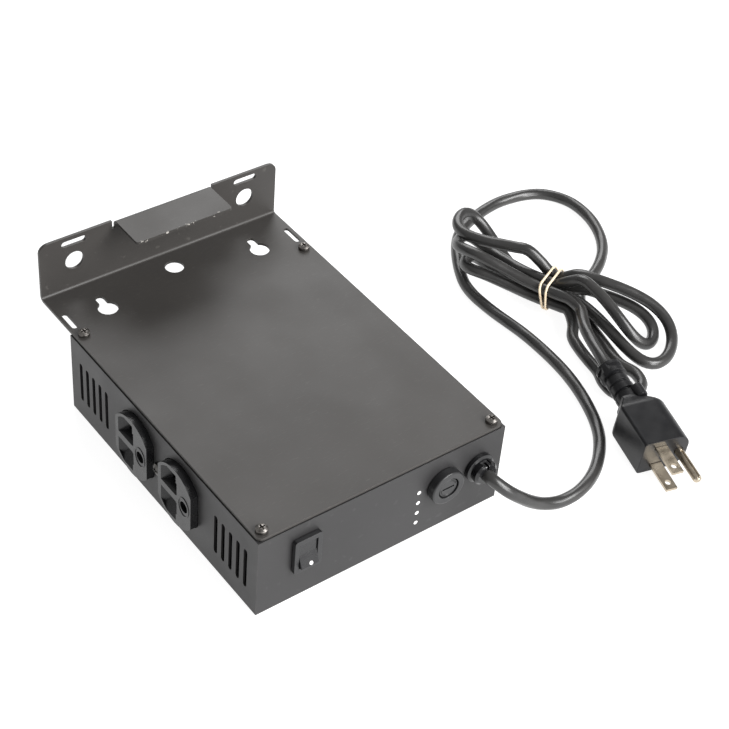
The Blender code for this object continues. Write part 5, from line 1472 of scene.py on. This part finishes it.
@dataclass
class Outlets:
    """Duplex receptacles of both side walls."""

    spacing: float = 0.0389
    height: float = 0.0248
    proud: float = 0.004
    ground_shift: float = 0.0084
    surround_radius: float = 0.0043
    surround_wire: float = 0.00035
    surround_stretch: float = 1.3
    middle_y: float = -0.0131
    surround_segments: tuple[int, int] = (32, 6)
    rim_radius: float = 0.0158
    rim_reach: float = 0.01
    rim_sides: int = 64
    funnel_depth: float = 0.0042
    funnel_proud: float = 0.0003
    mouth_along: Span = (-0.0016, 0.0119)
    mouth_up: Span = (0.00185, 0.0150)
    slot_along: Span = (-0.0009, 0.0079)
    slot_up: Span = (0.00385, 0.00885)
    rounding: float = 0.0004
    screw_rounding: float = 0.0002

    def build(self) -> None:
        """Make the receptacles' pieces."""
        for side, sign in (("left", -1), ("right", 1)):
            outlet = copied(f"receptacle_body_{side}", f"outlet_block_{side}")
            carved(outlet, *[self.funnel(sign, step, half) for step in (-1, 1) for half in (-1, 1)])
            softened(outlet, self.rounding)
            finished(outlet, SOCKET_PLASTIC, replaces=(f"receptacle_body_{side}",))
            refined(f"receptacle_screw_{side}", f"outlet_screw_{side}", DARK_STEEL, self.screw_rounding)
            self.surrounds(side, sign)

    def funnel(self, sign: int, step: int, half: int) -> Piece:
        """Cutter of the tapered lead-in of one blade slot, kept inside the face's rim.

        Args:
            sign: Which way the wall faces along X.
            step: Which outlet of the wall, -1 or 1.
            half: Below or above the outlet's middle, -1 or 1.

        Returns:
            The cutter.
        """
        face = sign * (HALF_WIDTH + self.proud)
        middle = self.middle_y - sign * step * self.spacing / 2
        cutter = block("funnel", (1, 1, 1), (0, 0, 0))
        for vert in cutter.data.vertices:
            outer = vert.co.x > 0
            along = (self.mouth_along if outer else self.slot_along)[vert.co.y > 0]
            up = (self.mouth_up if outer else self.slot_up)[vert.co.z > 0]
            out = self.funnel_proud if outer else -self.funnel_depth
            vert.co = (face + sign * out, middle - sign * along, self.height + half * up)
        facing_out(cutter)
        profile = [(self.rim_radius, -self.rim_reach), (self.rim_radius, self.rim_reach)]
        rim = stacked("rim", profile, self.rim_sides)
        turn = Axis.outward(sign).turn()
        rim.data.transform(Matrix.Translation((face, middle, self.height)) @ turn)
        applied(cutter, "BOOLEAN", operation="INTERSECT", object=rim)
        bpy.data.objects.remove(rim)
        return cutter

    def surrounds(self, side: str, sign: int) -> Piece:
        """Raised oval line round each ground hole.

        Args:
            side: Name of the wall.
            sign: Which way the wall faces along X.

        Returns:
            The surrounds of one wall.
        """
        rings = []
        for step in (-1, 1):
            shift = step * self.spacing / 2 - self.ground_shift
            centre = (sign * (HALF_WIDTH + self.proud), self.middle_y - sign * shift, self.height)
            bpy.ops.object.select_all(action="DESELECT")
            bpy.ops.mesh.primitive_torus_add(
                major_radius=self.surround_radius,
                minor_radius=self.surround_wire,
                major_segments=self.surround_segments[0],
                minor_segments=self.surround_segments[1],
            )
            ring = named("surround")
            place = Matrix.Translation(centre) @ Matrix.Diagonal((1, 1, self.surround_stretch, 1))
            ring.data.transform(place @ Axis.RIGHT.turn())
            rings.append(ring)
        piece = joined(f"ground_surrounds_{side}", rings)
        alone(piece)
        bpy.ops.object.shade_smooth()
        return finished(piece, SOCKET_PLASTIC)


@dataclass
class PanelControls:
    """Rocker switch, fuse holder and cord gland of the end panel."""

    roundings: Point = (0.0004, 0.0005, 0.0003)
    cap_rounding: float = 0.00012
    gland_rounding: float = 0.00035
    rocker_from_left: float = 0.0262
    dot_drop: float = 0.0051
    dot_shift: float = 0.0007
    dot_radius: float = 0.0010
    dot_depth: float = 0.00005
    dot_taper: float = 0.9
    dot_lift: float = 0.00002
    fuse_from_left: float = 0.1057
    fuse_proud: float = 0.0048
    cap_recess: float = 0.0006
    slot_length: float = 0.0062
    slot_width: float = 0.0010
    slot_depth: float = 0.0012
    arc_radius: float = 0.0044
    arc_wire: float = 0.00035
    arc_steps: int = 12
    arcs: tuple[Span, ...] = ((15.0, 60.0), (175.0, 110.0))
    gland_radius: float = 0.008
    gland_head: float = 0.0066
    head_start: float = 0.0030
    head_round: float = 0.0012
    flange_depth: float = 0.0024
    flange_seat: float = 0.0003
    tail: Span = (0.0068, -0.0062)
    tail_waist: Span = (0.0060, -0.0015)
    bore_gap: float = 0.0001
    grip_sides: int = 40
    passage_reach: float = 0.02
    passage_sides: int = 32
    slit_size: Span = (0.0012, 0.0046)
    slit_beyond: float = 0.002
    slit_sunk: float = 0.0010
    key_size: Point = (0.0046, 0.0026, 0.0050)
    key_sunk: float = 0.0012

    def build(self) -> None:
        """Make the controls' pieces."""
        bezel, paddle, nut = self.roundings
        refined("rocker_housing", "rocker_bezel", SWITCH_PLASTIC, bezel, segments=3)
        refined("rocker_paddle", "rocker_cap", SOCKET_PLASTIC, paddle, body="rocker", segments=3)
        self.paddle_dot()
        refined("fuse_holder_body", "fuse_ring", SWITCH_PLASTIC, bezel, segments=3)
        refined("fuse_holder_nut", "fuse_nut", SWITCH_PLASTIC, nut)
        self.cap()
        self.gland()

    def paddle_dot(self) -> Piece:
        """White dot near the proud end of the paddle, laid on its face.

        Returns:
            The dot.
        """
        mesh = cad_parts["rocker_paddle"].data
        points = [vert.co for vert in mesh.vertices]
        faces = BVHTree.FromPolygons(points, [face.vertices for face in mesh.polygons])
        dot_x = self.rocker_from_left + self.dot_shift - HALF_WIDTH
        start = Vector((dot_x, 2 * FRONT_Y, PANEL_HEIGHT - self.dot_drop))
        place, normal, _, _ = faces.ray_cast(start, Vector((0, 1, 0)))
        profile = [(self.dot_radius, 0.0), (self.dot_radius * self.dot_taper, self.dot_depth)]
        dot = stacked("paddle_dot", profile, DOT_SIDES)
        turn = normal.to_track_quat("Z", "Y").to_matrix().to_4x4()
        dot.data.transform(Matrix.Translation(place + normal * self.dot_lift) @ turn)
        return finished(dot, PRINT_WHITE, body="rocker")

    def cap(self) -> Piece:
        """Fuse cap with its slot and two arcs cut into the face.

        Returns:
            The cap.
        """
        face_y = FRONT_Y - self.fuse_proud + self.cap_recess
        centre = Vector((self.fuse_from_left - HALF_WIDTH, face_y, PANEL_HEIGHT))
        cap = copied("fuse_cap", "fuse_knob")
        slot_size = (self.slot_length, 2 * self.slot_depth, self.slot_width)
        cutters = [block("slot", slot_size, tuple(centre))]
        for start, sweep in self.arcs:
            points = []
            for step in range(self.arc_steps + 1):
                angle = math.radians(start + sweep * step / self.arc_steps)
                points.append(centre + self.arc_radius * Vector((math.cos(angle), 0, math.sin(angle))))
            cutters.append(meshed(tube("arc", points, self.arc_wire, sides=2)))
        carved(cap, *cutters)
        softened(cap, self.cap_rounding)
        return finished(cap, SWITCH_PLASTIC, body="fuse_cap", replaces=("fuse_cap",))

    def gland(self) -> Piece:
        """Strain relief: a round flange and a split head that grips the cord.

        Returns:
            The gland.
        """
        bore = CORD_RADIUS + self.bore_gap
        flange, head, proud = self.gland_radius, self.gland_head, GLAND_PROUD
        profile = [
            self.tail,
            self.tail_waist,
            (self.tail_waist[0], self.flange_seat),
            (flange, self.flange_seat),
            (flange, self.flange_depth),
            (head, self.head_start),
            (head, proud - self.head_round),
            (head - self.head_round, proud),
            (bore, proud),
        ]
        body = stacked("cord_grip", profile, self.grip_sides)
        wide, deep = self.slit_size
        across = 2 * head + self.slit_beyond
        slit = block("slit", (wide, across, deep), (0, 0, proud - self.slit_sunk))
        keys = []
        for side in (-1, 1):
            centre = (0, side * (head + self.flange_seat), proud - self.key_sunk)
            keys.append(block("key", self.key_size, centre))
        carved(body, slit, *keys)
        ends = [(bore, -self.passage_reach), (bore, self.passage_reach)]
        carved(body, stacked("passage", ends, self.passage_sides))
        softened(body, self.gland_rounding)
        spot = (GLAND_FROM_LEFT - HALF_WIDTH, FRONT_Y, GLAND_HEIGHT)
        body.data.transform(Matrix.Translation(spot) @ Axis.FRONT.turn())
        return finished(body, GLAND_PLASTIC, replaces=("cord_gland",))


@dataclass
class FarControls:
    """Speed knob and pattern button on the far wall."""

    edge_width: float = 0.0003

    def build(self) -> None:
        """Make the controls' pieces."""
        refined("speed_knob", "speed_dial", SWITCH_PLASTIC, self.edge_width, body="speed_control")
        refined("potentiometer_nut", "dial_nut", SCREW_STEEL, self.edge_width)
        refined("pattern_button", "pattern_cap", SWITCH_PLASTIC, self.edge_width, body="pattern_button")
        refined("pattern_switch_body", "pattern_switch", SWITCH_PLASTIC, self.edge_width)


@dataclass
class Insides:
    """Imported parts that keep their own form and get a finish."""

    finishes: tuple[Finish, ...] = DEFAULT_FINISHES

    def build(self) -> None:
        """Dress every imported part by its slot."""
        by_slot = {finish.slot.value: finish for finish in self.finishes}
        for name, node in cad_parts.items():
            finish = by_slot[node.data.materials[0].name.split(".")[0]]
            dressed(node, finish)
            LOG.info("%s: %s", name, finish.name)


def main() -> None:
    """Build the scene."""
    logging.basicConfig(level=logging.INFO, format="%(name)s %(message)s")
    Studio().build()
    Insides().build()
    cord = FreeCord()
    cord.band()
    Plug().build()
    cord.jacket()
    Enclosure().build()
    Outlets().build()
    PanelControls().build()
    FarControls().build()


if __name__ == "__main__":
    main()
